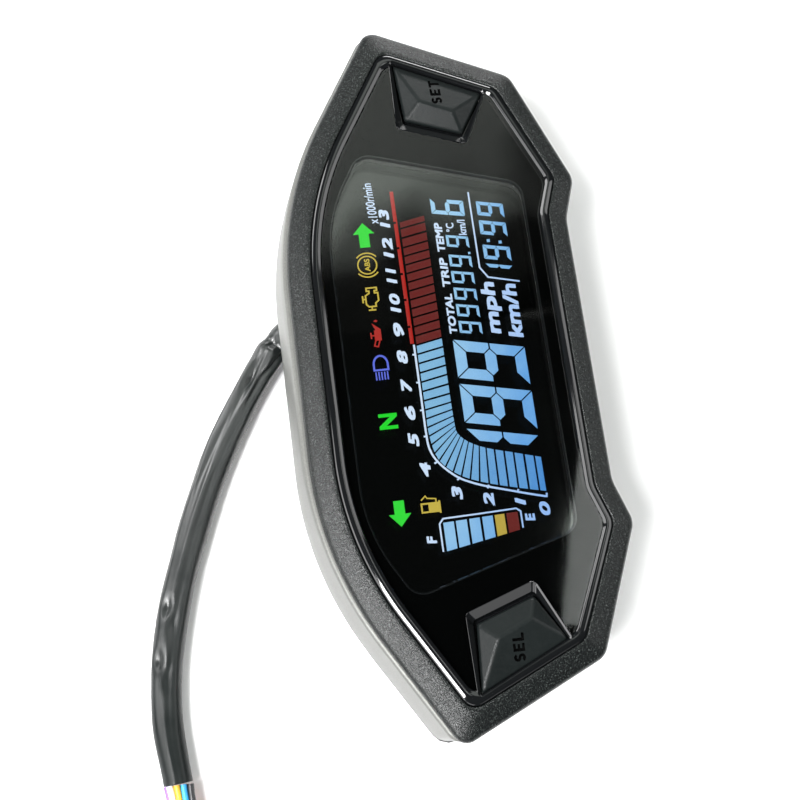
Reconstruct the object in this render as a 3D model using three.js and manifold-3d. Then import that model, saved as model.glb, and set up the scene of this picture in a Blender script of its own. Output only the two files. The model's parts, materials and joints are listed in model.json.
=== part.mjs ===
// Motorcycle instrument cluster: a wide six-cornered LCD meter with two push buttons and a harness.
// Millimetres, +Z up. The meter lies on its back, face up: +X is the reading direction,
// +Y the edge with the warning lights, +Z points out of the display. The table is z = 0.
import * as THREE from 'three';
import { mergeVertices } from 'three/addons/utils/BufferGeometryUtils.js';
import Module from 'manifold-3d';

const wasm = await Module();
wasm.setup();

// ---------------------------------------------------------------- driving dimensions
const GAP = 0.3;              // free gap between neighbouring pieces
const CENTRE_SHIFT = 8.88;     // moves the outline so that its box is centred on y = 0

// Corners of the right half, from the pointed end round to the lower edge: x, y, corner radius, steps.
const OUTER_CORNERS = {
  tip: [92.4, -0.2, 3.5, 3],
  shoulder: [45.7, 27.5, 90, 6],
  lowerSide: [75.9, -36.4, 5, 3],
  lowerEnd: [45.1, -48.7, 5, 3],
  waist: [34.5, -45.2, 10, 3],
};
// Rear edge of the silver case: flared out past the outer outline along its upper long side only.
const FLARED_CORNERS = {
  ...OUTER_CORNERS,
  tip: [91.4, 2.6, 5, 3],
  shoulder: [45.7, 30.6, 90, 6],
};
const LENS_CORNERS = {
  tip: [82.3, -3.8, 3.5, 3],
  shoulder: [43.1, 19.7, 75, 6],
  lowerSide: [70.4, -30.5, 4, 3],
  lowerEnd: [44.9, -41.6, 4, 3],
  waist: [36, -38.6, 8, 3],
};
const WINDOW_CORNERS = [
  [57.5, 6, 5, 3],
  [40, 16.2, 42, 4],
  [-40, 16.2, 42, 4],
  [-57.5, 6, 5, 3],
  [-45.6, -35, 5, 3],
  [45.6, -35, 5, 3],
];
// Button pocket and button, right-hand side; the left-hand side is the mirror image.
const POCKET_CORNERS = [
  [82.0, -5.0, 0.8, 1],
  [62.4, -4.7, 1.5, 2],
  [56.5, -22.0, 1.5, 2],
  [71.0, -28.9, 0.8, 1],
];
const CAP_CORNERS = [
  [80.3, -6.6],
  [65.6, -7.3],
  [60.7, -20.9],
  [70.6, -27.4],
];
const CAP_RIDGE = [
  [69.1, -11.3],
  [65.8, -19.6],
];

// Heights above the table.
const COVER_FLOOR = 2.3;
const FLANGE_BOTTOM = 12;
const FLANGE_TOP = 14.3;
const CASE_BOTTOM = FLANGE_TOP + GAP;
const PCB_BOTTOM = 18.4;
const PCB_TOP = 20;
const DECK_BOTTOM = 24.6;
const DECK_TOP = 26.6;
const CASE_TOP = 31.5;
const LEDGE_BOTTOM = 30.6;
const LEDGE_TOP = 31.9;
const POCKET_FLOOR = 31.8;
const GASKET_BOTTOM = LEDGE_TOP + GAP;
const GASKET_TOP = 32.8;
const LENS_BOTTOM = GASKET_TOP + GAP;
const LENS_TOP = 35.1;
const GUIDE_BOTTOM = 22.6;
const GUIDE_TOP = 25.8;
const GLASS_BOTTOM = GUIDE_TOP + GAP;
const GLASS_TOP = 28.5;

// Push buttons.
const BUTTON_CENTRE = [69.5, -15.8];
const CAP_BOTTOM = 32.9;
const CAP_EDGE = 34.2;
const CAP_TOP = 36.6;
const COLLAR_TOP = LEDGE_BOTTOM - GAP;
const COLLAR_BOTTOM = 29.1;
const POST_RADIUS = 2;
const POST_BOTTOM = 25.7;
const POST_HOLE_RADIUS = 2.6;
const SWITCH_TOP = 23.6;
const SWITCH_BORE_FLOOR = 20.9;
const PLUNGER_RADIUS = 1.7;

// Screws, inserts, cable exit.
const CASE_SCREW_PLACES = [[64.9, 10], [-64.9, 10], [-58.5, -38.2], [58.5, -38.2]];
const PCB_SCREW_PLACES = [[66, 0], [-66, 0], [-57, -31], [57, -31]];
const INSERT_PLACES = [[45, -4], [-45, -4], [0, -28]];
const INSERT_RADIUS = 4;
const INSERT_HEIGHT = 10;
const INSERT_BORE_RADIUS = 2.2;
const EXIT_X = 20;
const EXIT_Z = 6;
const EXIT_BORE_RADIUS = 4.9;
const EXIT_PAD_START = 15.5;
const EXIT_PAD_END = 19.4;
const GROMMET_END = 22.4;
const HARNESS_RADIUS = 2.5;

// Harness outside the meter.
const SLEEVE_RADIUS = 3.8;
const WIRE_RADIUS = 0.8;
const WIRE_COUNT = 8;
const WIRE_ROWS = 2;
const WIRE_START_PITCH = 1.7;
const WIRE_END_PITCH = 2.5;
const CONNECTOR_BACK = -154;
const CONNECTOR_Y = 60;
const CONNECTOR_LENGTH = 19;
const CONNECTOR_WIDTH = 15;
const CONNECTOR_HEIGHT = 9;

// ---------------------------------------------------------------- outlines
// Full counter-clockwise corner list from the right half of a meter outline.
function mirroredCorners(half) {
  const right = [half.tip, half.shoulder];
  const lowerRight = [half.waist, half.lowerEnd, half.lowerSide];
  const flip = ([x, y, r, steps]) => [-x, y, r, steps];
  return [
    ...right,
    ...right.map(flip).reverse(),
    ...lowerRight.map(flip).reverse(),
    ...lowerRight,
  ];
}

const OUTER = mirroredCorners(OUTER_CORNERS);
const LENS = mirroredCorners(LENS_CORNERS);
const FLARED = mirroredCorners(FLARED_CORNERS);

function mirrorX(corners) {
  return corners.map(([x, ...rest]) => [-x, ...rest]).reverse();
}

// Corners moved outwards by `distance` (inwards when negative); the list runs counter-clockwise.
function offsetCorners(corners, distance) {
  const count = corners.length;
  return corners.map(([x, y, r = 0, steps = 0], i) => {
    const [px, py] = corners[(i + count - 1) % count];
    const [nx, ny] = corners[(i + 1) % count];
    const before = new THREE.Vector2(x - px, y - py).normalize();
    const after = new THREE.Vector2(nx - x, ny - y).normalize();
    const turn = before.x * after.y - before.y * after.x;
    const bend = 1 + before.dot(after);
    const dx = ((before.y + after.y) * distance) / bend;
    const dy = (-(before.x + after.x) * distance) / bend;
    const radius = turn > 0 ? r + distance : r - distance;
    return [x + dx, y + dy, Math.max(radius, r ? 0.5 : 0), steps];
  });
}

// Outline points with every corner replaced by an arc of its own radius.
function roundedPoints(corners) {
  const points = [];
  const count = corners.length;
  corners.forEach(([x, y, r = 0, steps = 0], i) => {
    if (!r || !steps) {
      points.push(new THREE.Vector2(x, y));
      return;
    }
    const [px, py] = corners[(i + count - 1) % count];
    const [nx, ny] = corners[(i + 1) % count];
    const toPrevious = new THREE.Vector2(px - x, py - y).normalize();
    const toNext = new THREE.Vector2(nx - x, ny - y).normalize();
    const half = Math.acos(THREE.MathUtils.clamp(toPrevious.dot(toNext), -1, 1)) / 2;
    const bisector = toPrevious.clone().add(toNext).normalize();
    const centre = bisector.multiplyScalar(r / Math.sin(half)).add(new THREE.Vector2(x, y));
    const tangent = r / Math.tan(half);
    const start = toPrevious.multiplyScalar(tangent).add(new THREE.Vector2(x, y)).sub(centre);
    const end = toNext.multiplyScalar(tangent).add(new THREE.Vector2(x, y)).sub(centre);
    const sweep = Math.atan2(start.x * end.y - start.y * end.x, start.dot(end));
    for (let k = 0; k <= steps; k += 1) {
      points.push(start.clone().rotateAround(new THREE.Vector2(), (sweep * k) / steps).add(centre));
    }
  });
  return points;
}

// The band between the outer outline (t = 0) and the lens outline (t = 1); t may run past both.
// The flare is added on top of it: 0 for none, 1 for all of the rear edge's.
function bandCorners(t, flare) {
  return OUTER.map((corner, i) => corner.map(
    (value, k) => value + (LENS[i][k] - value) * t + (FLARED[i][k] - value) * flare));
}

function bandPoints(t, flare = 0) {
  return roundedPoints(bandCorners(t, flare));
}

// ---------------------------------------------------------------- solids
function finishGeometry(geometry) {
  geometry.deleteAttribute('normal');
  geometry.deleteAttribute('uv');
  const merged = mergeVertices(geometry, 1e-4);
  return merged;
}

function geometryFrom(positions, indices) {
  const geometry = new THREE.BufferGeometry();
  geometry.setAttribute('position', new THREE.Float32BufferAttribute(positions, 3));
  geometry.setIndex(indices);
  return geometry;
}

// Straight-sided solid over an outline, between two heights.
function prism(points, bottom, top) {
  const geometry = new THREE.ExtrudeGeometry(new THREE.Shape(points), {
    depth: top - bottom,
    bevelEnabled: false,
    steps: 1,
  });
  geometry.translate(0, 0, bottom);
  return finishGeometry(geometry);
}

// Solid through matching outlines at rising heights: [[points, z], ...].
function loft(layers) {
  const count = layers[0][0].length;
  const positions = [];
  const indices = [];
  for (const [points, z] of layers) {
    for (const point of points) positions.push(point.x, point.y, z);
  }
  for (let k = 0; k + 1 < layers.length; k += 1) {
    for (let i = 0; i < count; i += 1) {
      const a = k * count + i;
      const b = k * count + ((i + 1) % count);
      indices.push(a, b, b + count, a, b + count, a + count);
    }
  }
  const lastStart = (layers.length - 1) * count;
  for (const [i, j, k] of THREE.ShapeUtils.triangulateShape(layers[0][0], [])) {
    indices.push(i, k, j);
  }
  for (const [i, j, k] of THREE.ShapeUtils.triangulateShape(layers.at(-1)[0], [])) {
    indices.push(lastStart + i, lastStart + j, lastStart + k);
  }
  return geometryFrom(positions, indices);
}

// Closed ring that follows the meter outline; the profile is a loop of [t, z, flare] running
// up the outside, inwards over the top and down the inside.
function bandRing(profile) {
  const loops = profile.map(([t, , flare]) => bandPoints(t, flare));
  const count = loops[0].length;
  const positions = [];
  const indices = [];
  profile.forEach(([, z], k) => {
    for (const point of loops[k]) positions.push(point.x, point.y, z);
  });
  for (let k = 0; k < profile.length; k += 1) {
    const next = (k + 1) % profile.length;
    for (let i = 0; i < count; i += 1) {
      const j = (i + 1) % count;
      const a = k * count + i;
      const b = k * count + j;
      const c = next * count + j;
      const d = next * count + i;
      indices.push(a, b, c, a, c, d);
    }
  }
  return geometryFrom(positions, indices);
}

function block(x, y, bottom, sizeX, sizeY, height) {
  const geometry = new THREE.BoxGeometry(sizeX, sizeY, height);
  geometry.translate(x, y, bottom + height / 2);
  return finishGeometry(geometry);
}

function cylinder(x, y, radius, bottom, top, sides = 20) {
  const geometry = new THREE.CylinderGeometry(radius, radius, top - bottom, sides);
  geometry.rotateX(Math.PI / 2);
  geometry.translate(x, y, (bottom + top) / 2);
  return finishGeometry(geometry);
}

// Turned solid about a vertical axis; the profile is a list of [radius, height].
function turned(profile, x, y, sides = 16) {
  const points = profile.map(([r, z]) => new THREE.Vector2(r, z));
  const geometry = new THREE.LatheGeometry(points, sides);
  geometry.rotateX(Math.PI / 2);
  geometry.translate(x, y, 0);
  return finishGeometry(geometry);
}

function toManifold(geometry) {
  const vertProperties = new Float32Array(geometry.attributes.position.array);
  const triVerts = new Uint32Array(geometry.index.array);
  return new wasm.Manifold(new wasm.Mesh({ numProp: 3, vertProperties, triVerts }));
}

function fromManifold(solid) {
  const mesh = solid.getMesh();
  return geometryFrom(Array.from(mesh.vertProperties), Array.from(mesh.triVerts));
}

// One geometry from a body, pieces joined to it and pieces cut from it.
function sculpt(body, { add = [], cut = [] }) {
  let solid = toManifold(body);
  for (const piece of add) solid = solid.add(toManifold(piece));
  for (const piece of cut) solid = solid.subtract(toManifold(piece));
  return fromManifold(solid);
}

// Round cord along a list of [x, y, z] points.
function cord(points, radius, sides, spacing) {
  const path = new THREE.CatmullRomCurve3(points.map((point) => new THREE.Vector3(...point)));
  const section = new THREE.Shape();
  for (let k = 0; k < sides; k += 1) {
    const angle = (2 * Math.PI * (k + 0.5)) / sides;
    const place = [radius * Math.cos(angle), radius * Math.sin(angle)];
    if (k) section.lineTo(...place);
    else section.moveTo(...place);
  }
  const steps = Math.max(2, Math.round(path.getLength() / spacing));
  return finishGeometry(new THREE.ExtrudeGeometry(section, { steps, extrudePath: path }));
}

// ---------------------------------------------------------------- finishes
function finish(color, roughness, metalness = 0) {
  return new THREE.MeshStandardMaterial({ color, roughness, metalness });
}

const FINISHES = {
  texturedBlack: finish(0x3f4244, 0.75),
  silver: finish(0xc9cbcc, 0.45, 0.6),
  glossBlack: finish(0x0b0c0d, 0.12),
  mattBlack: finish(0x1c1d1f, 0.7),
  smokedClear: finish(0x15181a, 0.08),
  rubber: finish(0x222325, 0.85),
  greyRubber: finish(0x7c7f80, 0.8),
  lcd: finish(0x0c1812, 0.2),
  whitePlastic: finish(0xe6e7e5, 0.5),
  board: finish(0x1f5a38, 0.5),
  chip: finish(0x17181a, 0.6),
  tin: finish(0xb8babb, 0.35, 0.9),
  brass: finish(0xc39b4c, 0.35, 0.9),
  steel: finish(0x9da0a3, 0.35, 0.9),
  sleeve: finish(0x2f3133, 0.45),
};

function piece(parent, name, geometry, material) {
  const mesh = new THREE.Mesh(geometry, material.clone());
  mesh.name = name;
  parent.add(mesh);
  return mesh;
}

function assembly(parent, name) {
  const group = new THREE.Group();
  group.name = name;
  parent.add(group);
  return group;
}

// ---------------------------------------------------------------- case
// Silver side case: a flared wall, a deck across it and bosses for both sets of screws.
function caseShell() {
  const wall = bandRing([
    [0, CASE_BOTTOM, 1],
    [0, 16.2, 1],
    [0.04, 16.6, 1],
    [0, 17, 1],
    [0, 19.5, 0.95],
    [0, 29.5, 0.45],
    [0, CASE_TOP - 0.4, 0.38],
    [0.04, CASE_TOP, 0.36],
    [0.28, CASE_TOP],
    [0.28, DECK_BOTTOM - 0.6],
    [0.28, 18.8, 0.7],
    [0.28, 17],
    [0.28, CASE_BOTTOM],
  ]);
  const deck = prism(bandPoints(0.2), DECK_BOTTOM, DECK_TOP);
  const bosses = [
    ...CASE_SCREW_PLACES.map(([x, y]) => cylinder(x, y, 2.6, CASE_BOTTOM, DECK_BOTTOM + 1, 14)),
    ...PCB_SCREW_PLACES.map(([x, y]) => cylinder(x, y, 2.4, PCB_TOP + GAP, DECK_BOTTOM + 1, 14)),
  ];
  const displayOpening = roundedPoints(offsetCorners(WINDOW_CORNERS, 2.6));
  const holes = [
    prism(displayOpening, DECK_BOTTOM - 1, DECK_TOP + 1),
    ...CASE_SCREW_PLACES.map(([x, y]) => cylinder(x, y, 1.3, CASE_BOTTOM - 1, 22.5, 12)),
    ...PCB_SCREW_PLACES.map(([x, y]) => cylinder(x, y, 1.3, PCB_TOP, 25.3, 12)),
    ...[1, -1].map((side) =>
      cylinder(side * BUTTON_CENTRE[0], BUTTON_CENTRE[1], POST_HOLE_RADIUS, 24, 27, 20)),
  ];
  return sculpt(wall, { add: [deck, ...bosses], cut: holes });
}

// Dark textured ring on the front of the case, its top face rising towards the lens.
function bezelRing() {
  return bandRing([
    [0, CASE_TOP + GAP],
    [0, 33],
    [0.05, 33.6],
    [0.13, 34],
    [0.62, 35.15],
    [0.71, 35.2],
    [0.76, 34.9],
    [0.76, DECK_TOP + GAP],
    [0.34, DECK_TOP + GAP],
    [0.34, CASE_TOP + GAP],
  ]);
}

// Rear tub with the screw flange, insert bosses, vent hole and cable exit.
function rearCover() {
  const tub = loft([
    [bandPoints(1.38), 0],
    [bandPoints(1.24), 1.2],
    [bandPoints(1.06), FLANGE_BOTTOM + 1],
  ]);
  const flange = prism(bandPoints(0, 0.85), FLANGE_BOTTOM, FLANGE_TOP);
  const cavity = loft([
    [bandPoints(1.56), COVER_FLOOR],
    [bandPoints(1.36), FLANGE_TOP + 1],
  ]);
  const exitMiddle = (EXIT_PAD_START + EXIT_PAD_END) / 2;
  const pad = block(EXIT_X, exitMiddle, 0.4, 15, EXIT_PAD_END - EXIT_PAD_START, 12.4);
  const insertBosses = INSERT_PLACES.map(([x, y]) => cylinder(x, y, 6.5, 1, 12, 20));
  const gasketGroove = bandRing([
    [0.11, FLANGE_TOP - 1.2],
    [0.11, FLANGE_TOP + 1],
    [0.33, FLANGE_TOP + 1],
    [0.33, FLANGE_TOP - 1.2],
  ]);
  const exitBore = cylinder(0, 0, EXIT_BORE_RADIUS, -12, 12, 20);
  exitBore.rotateX(Math.PI / 2);
  exitBore.translate(EXIT_X, exitMiddle, EXIT_Z);
  const holes = [
    gasketGroove,
    exitBore,
    cylinder(-20, -20, 1.5, -1, 4, 12),
    ...CASE_SCREW_PLACES.map(([x, y]) => cylinder(x, y, 1.3, 11, 15, 12)),
    ...INSERT_PLACES.map(([x, y]) => cylinder(x, y, INSERT_RADIUS + 0.32, -1, INSERT_HEIGHT + 0.4, 20)),
  ];
  const shell = sculpt(tub, { add: [flange], cut: [cavity] });
  return sculpt(shell, { add: [pad, ...insertBosses], cut: holes });
}

function threadedInsert(x, y) {
  const ring = INSERT_RADIUS;
  const bore = INSERT_BORE_RADIUS;
  return turned([
    [bore, 0],
    [ring, 0],
    [ring, 3.6],
    [ring - 0.6, 4.2],
    [ring - 0.6, 5.6],
    [ring, 6.2],
    [ring, INSERT_HEIGHT],
    [bore, INSERT_HEIGHT],
    [bore, 0],
  ], x, y, 20);
}

// Pan-head screw driven upwards: the head is below, the shank above.
function screw(x, y, headBottom, headTop, tip, shankRadius, headRadius) {
  return turned([
    [0, headBottom],
    [headRadius * 0.7, headBottom],
    [headRadius, headBottom + 0.6],
    [headRadius, headTop],
    [shankRadius, headTop],
    [shankRadius, tip - 0.8],
    [0, tip],
  ], x, y, 12);
}

function addCase(root) {
  const group = assembly(root, 'case_group');
  piece(group, 'side_case', caseShell(), FINISHES.silver);
  piece(group, 'bezel_ring', bezelRing(), FINISHES.texturedBlack);
  piece(group, 'rear_cover', rearCover(), FINISHES.mattBlack);
  const seal = bandRing([
    [0.16, FLANGE_TOP - 0.9],
    [0.16, FLANGE_TOP],
    [0.28, FLANGE_TOP],
    [0.28, FLANGE_TOP - 0.9],
  ]);
  piece(group, 'cover_gasket', seal, FINISHES.rubber);
  CASE_SCREW_PLACES.forEach(([x, y], i) => {
    const shape = screw(x, y, 9.9, FLANGE_BOTTOM - GAP, 21.5, 0.95, 2.4);
    piece(group, `case_screw_${i + 1}`, shape, FINISHES.steel);
  });
  INSERT_PLACES.forEach(([x, y], i) => {
    piece(group, `mount_insert_${i + 1}`, threadedInsert(x, y), FINISHES.brass);
  });
  const vent = cylinder(-20, -20, 4, COVER_FLOOR + GAP, COVER_FLOOR + 1.1, 20);
  piece(group, 'vent_membrane', vent, FINISHES.whitePlastic);
}

// ---------------------------------------------------------------- front window
function pocketPoints(side, distance) {
  const corners = side > 0 ? POCKET_CORNERS : mirrorX(POCKET_CORNERS);
  return roundedPoints(offsetCorners(corners, distance));
}

function bothPockets(distance, bottom, top) {
  return [1, -1].map((side) => prism(pocketPoints(side, distance), bottom, top));
}

function capCorners(side) {
  return side > 0 ? CAP_CORNERS : mirrorX(CAP_CORNERS);
}

// Gloss lip round the lens with a tray for each button.
function lensTrim() {
  const lip = bandRing([
    [0.81, DECK_TOP + GAP],
    [0.81, 35.1],
    [0.835, 35.5],
    [0.88, 35.6],
    [0.925, 35.4],
    [0.95, 35],
    [0.95, LEDGE_TOP],
    [1.12, LEDGE_TOP],
    [1.12, LEDGE_BOTTOM],
    [0.95, LEDGE_BOTTOM],
    [0.95, DECK_TOP + GAP],
  ]);
  const trays = bothPockets(0.8, LEDGE_BOTTOM, 34.9);
  const hollows = bothPockets(0, POCKET_FLOOR, 40);
  const stemHoles = [1, -1].map((side) =>
    prism(roundedPoints(offsetCorners(capCorners(side), -2.6)), LEDGE_BOTTOM - 1, POCKET_FLOOR + 1));
  const hollowTrays = trays.map((tray, i) => sculpt(tray, { cut: [hollows[i]] }));
  const joined = sculpt(lip, { add: hollowTrays });
  const clearance = bandRing([
    [0.4, DECK_TOP],
    [0.4, 40],
    [0.81, 40],
    [0.81, DECK_TOP],
  ]);
  const frameRoom = windowPrism(2.6, LEDGE_BOTTOM - 1, LEDGE_TOP + 1);
  return sculpt(joined, { cut: [...stemHoles, clearance, frameRoom] });
}

function lensPanel() {
  const sheet = loft([
    [bandPoints(1), LENS_BOTTOM],
    [bandPoints(1), LENS_TOP - 0.4],
    [bandPoints(1.05), LENS_TOP],
  ]);
  return sculpt(sheet, { cut: bothPockets(0.8 + GAP, LENS_BOTTOM - 1, LENS_TOP + 1) });
}

// Flat sheet under the lens, kept clear of both button trays.
function sheetUnderLens(t, pocketClearance, bottom, top) {
  return sculpt(prism(bandPoints(t), bottom, top), {
    cut: bothPockets(pocketClearance, bottom - 1, top + 1),
  });
}

function lensGasket() {
  const outside = sheetUnderLens(1.03, 1.2, GASKET_BOTTOM, GASKET_TOP);
  const inside = sheetUnderLens(1.15, 2.2, GASKET_BOTTOM - 1, GASKET_TOP + 1);
  return sculpt(outside, { cut: [inside] });
}

function displayMask() {
  const sheet = sheetUnderLens(1.2, 2.6, GASKET_BOTTOM, GASKET_TOP);
  const opening = prism(roundedPoints(WINDOW_CORNERS), GASKET_BOTTOM - 1, GASKET_TOP + 1);
  return sculpt(sheet, { cut: [opening] });
}

function addFront(root) {
  const group = assembly(root, 'front_window_group');
  piece(group, 'lens_trim', lensTrim(), FINISHES.glossBlack);
  piece(group, 'lens_panel', lensPanel(), FINISHES.smokedClear);
  piece(group, 'lens_gasket', lensGasket(), FINISHES.rubber);
  piece(group, 'display_mask', displayMask(), FINISHES.glossBlack);
}

// ---------------------------------------------------------------- buttons
// Wedge-shaped cap: the top face climbs from the outer edge to a short ridge.
function capWedge(side) {
  const base = capCorners(side);
  const ridge = side > 0 ? CAP_RIDGE : mirrorX(CAP_RIDGE);
  const positions = [];
  for (const z of [CAP_BOTTOM, CAP_EDGE]) {
    for (const [x, y] of base) positions.push(x, y, z);
  }
  for (const [x, y] of ridge) positions.push(x, y, CAP_TOP);
  const wall = [0, 1, 2, 3].flatMap((i) => {
    const j = (i + 1) % 4;
    return [i, j, j + 4, i, j + 4, i + 4];
  });
  const floor = [0, 2, 1, 0, 3, 2];
  const left = [4, 5, 8];
  const inner = [5, 6, 9, 5, 9, 8];
  const right = [6, 7, 9];
  const face = [7, 4, 8, 7, 8, 9];
  return geometryFrom(positions, [...wall, ...floor, ...left, ...inner, ...right, ...face]);
}

function buttonCap(side) {
  const stem = prism(roundedPoints(offsetCorners(capCorners(side), -3)), COLLAR_BOTTOM, CAP_BOTTOM + 0.5);
  const collar = prism(roundedPoints(offsetCorners(capCorners(side), -1.4)), COLLAR_BOTTOM, COLLAR_TOP);
  const post = cylinder(
    side * BUTTON_CENTRE[0], BUTTON_CENTRE[1], POST_RADIUS, POST_BOTTOM, COLLAR_TOP, 16);
  return sculpt(capWedge(side), { add: [stem, collar, post] });
}

function returnPad(x, y) {
  return turned([
    [POST_RADIUS + 0.6, DECK_TOP + GAP],
    [4.6, DECK_TOP + GAP],
    [4.2, 27.8],
    [POST_RADIUS + 0.6, 27.8],
    [POST_RADIUS + 0.6, DECK_TOP + GAP],
  ], x, y, 20);
}

function switchBody(x, y) {
  const body = block(x, y, PCB_TOP + GAP, 6.2, 6.2, SWITCH_TOP - PCB_TOP - GAP);
  return sculpt(body, { cut: [cylinder(x, y, PLUNGER_RADIUS + 0.35, SWITCH_BORE_FLOOR, 26, 16)] });
}

function addButtons(root) {
  for (const [name, side] of [['set', 1], ['sel', -1]]) {
    const group = assembly(root, `${name}_button_group`);
    const x = side * BUTTON_CENTRE[0];
    const y = BUTTON_CENTRE[1];
    piece(group, `${name}_button`, buttonCap(side), FINISHES.mattBlack);
    piece(group, `${name}_return_pad`, returnPad(x, y), FINISHES.greyRubber);
    piece(group, `${name}_switch_body`, switchBody(x, y), FINISHES.tin);
    const plunger = cylinder(x, y, PLUNGER_RADIUS, 22.2, POST_BOTTOM - GAP, 16);
    piece(group, `${name}_switch_plunger`, plunger, FINISHES.chip);
  }
}

// ---------------------------------------------------------------- display stack
function windowPrism(distance, bottom, top) {
  return prism(roundedPoints(offsetCorners(WINDOW_CORNERS, distance)), bottom, top);
}

function lcdFrame() {
  return sculpt(windowPrism(2.2, PCB_TOP + 1.3, LEDGE_TOP), {
    cut: [windowPrism(1.1, PCB_TOP, GLASS_TOP + GAP), windowPrism(0.2, GLASS_TOP, LEDGE_TOP + 1)],
  });
}

function lightGuide() {
  const limits = block(0, -9.4, GUIDE_BOTTOM - 1, 130, 46.4, 10);
  const sheet = toManifold(windowPrism(0.8, GUIDE_BOTTOM, GUIDE_TOP));
  return fromManifold(sheet.intersect(toManifold(limits)));
}

function addDisplay(root) {
  const group = assembly(root, 'display_group');
  piece(group, 'lcd_frame', lcdFrame(), FINISHES.mattBlack);
  piece(group, 'lcd_glass', windowPrism(0.8, GLASS_BOTTOM, GLASS_TOP), FINISHES.lcd);
  piece(group, 'light_guide', lightGuide(), FINISHES.whitePlastic);
  const stripHeight = GUIDE_TOP - PCB_TOP - GAP;
  const upper = block(0, 15.1, PCB_TOP + GAP, 52, 1.8, stripHeight);
  const lower = block(0, -34, PCB_TOP + GAP, 74, 1.8, stripHeight);
  piece(group, 'upper_contact_strip', upper, FINISHES.greyRubber);
  piece(group, 'lower_contact_strip', lower, FINISHES.greyRubber);
  [[-32, -2], [32, -2], [-24, -24], [24, -24]].forEach(([x, y], i) => {
    const lamp = block(x, y, PCB_TOP + GAP, 3.5, 2.8, 1.9);
    piece(group, `backlight_led_${i + 1}`, lamp, FINISHES.whitePlastic);
  });
}

// ---------------------------------------------------------------- circuit board
function mainBoard() {
  return sculpt(prism(bandPoints(1.1), PCB_BOTTOM, PCB_TOP), {
    cut: PCB_SCREW_PLACES.map(([x, y]) => cylinder(x, y, 1.3, PCB_BOTTOM - 1, PCB_TOP + 1, 12)),
  });
}

// Part hanging under the board.
function underBoard(x, y, sizeX, sizeY, height) {
  return block(x, y, PCB_BOTTOM - GAP - height, sizeX, sizeY, height);
}

function addBoard(root) {
  const group = assembly(root, 'board_group');
  piece(group, 'main_pcb', mainBoard(), FINISHES.board);
  piece(group, 'mcu_chip', underBoard(-12, -8, 12, 12, 1.6), FINISHES.chip);
  piece(group, 'lcd_driver_chip', underBoard(-12, -28, 10, 10, 1.6), FINISHES.chip);
  piece(group, 'voltage_regulator', underBoard(36, -18, 9, 10, 3), FINISHES.chip);
  piece(group, 'clock_crystal', underBoard(4, -8, 4.5, 10, 3.2), FINISHES.tin);
  const capacitor = cylinder(38, -30, 4, 7.4, PCB_BOTTOM - GAP, 18);
  piece(group, 'supply_capacitor', capacitor, FINISHES.chip);
  PCB_SCREW_PLACES.forEach(([x, y], i) => {
    const shape = screw(x, y, 16.3, PCB_BOTTOM - GAP, 24.6, 0.95, 2.3);
    piece(group, `pcb_screw_${i + 1}`, shape, FINISHES.steel);
  });
  const socket = sculpt(underBoard(EXIT_X, -14, 15, 8, 6.5), {
    cut: [block(EXIT_X, -12, 12.6, 12.6, 7, 4.5)],
  });
  piece(group, 'board_socket', socket, FINISHES.whitePlastic);
}

// ---------------------------------------------------------------- harness
// Solid turned about the horizontal cable-exit line; the profile is a list of [radius, y].
function turnedAlongExit(profile, sides = 20) {
  const points = profile.map(([r, y]) => new THREE.Vector2(r, y));
  const geometry = new THREE.LatheGeometry(points, sides);
  geometry.translate(EXIT_X, 0, EXIT_Z);
  return finishGeometry(geometry);
}

function grommet() {
  const bore = HARNESS_RADIUS + 0.4;
  return turnedAlongExit([
    [bore, 13],
    [EXIT_BORE_RADIUS - 0.35, 13],
    [EXIT_BORE_RADIUS - 0.35, EXIT_PAD_END + GAP],
    [5.6, EXIT_PAD_END + GAP],
    [5.6, GROMMET_END - 1.1],
    [5, GROMMET_END - 0.4],
    [4.4, GROMMET_END],
    [bore, GROMMET_END],
    [bore, 13],
  ]);
}

function cableClamp() {
  const body = block(EXIT_X, 9.5, COVER_FLOOR + GAP, 15, 3.6, 7.6);
  const bore = cylinder(0, 0, HARNESS_RADIUS + 0.4, -4, 4, 16);
  bore.rotateX(Math.PI / 2);
  bore.translate(EXIT_X, 9.5, EXIT_Z);
  return sculpt(body, { cut: [bore] });
}

function addInnerHarness(root) {
  const group = assembly(root, 'inner_harness_group');
  const plug = block(EXIT_X, -10.4, 12.95, 11.8, 9.2, 3.8);
  piece(group, 'board_plug', plug, FINISHES.whitePlastic);
  const route = [
    [EXIT_X, -5.1, 14.85],
    [EXIT_X, -2.2, 14.5],
    [EXIT_X, 1.5, 11],
    [EXIT_X, 4.8, 7],
    [EXIT_X, 8, EXIT_Z],
    [EXIT_X, 13, EXIT_Z],
    [EXIT_X, 19, EXIT_Z],
    [EXIT_X, GROMMET_END - 0.2, EXIT_Z],
  ];
  piece(group, 'inner_cable', cord(route, HARNESS_RADIUS, 10, 3), FINISHES.sleeve);
  piece(group, 'cable_clamp', cableClamp(), FINISHES.mattBlack);
  piece(group, 'cable_grommet', grommet(), FINISHES.greyRubber);
}

// Centre line of the outer sleeve: out of the grommet, over the table, along the meter.
const SLEEVE_ROUTE = [
  [EXIT_X, GROMMET_END + GAP, EXIT_Z],
  [19.9, 24.6, 6],
  [19.3, 27.6, 5.8],
  [17.9, 30.5, 5.4],
  [15.2, 33.3, 5],
  [10.4, 36.8, 4.5],
  [0.9, 42.8, 4],
  [-13.1, 50.6, 3.9],
  [-32, 58.5, 3.9],
  [-54.6, 65.4, 3.9],
  [-75, 67.9, 3.9],
  [-91.4, 66.6, 3.9],
];

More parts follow.
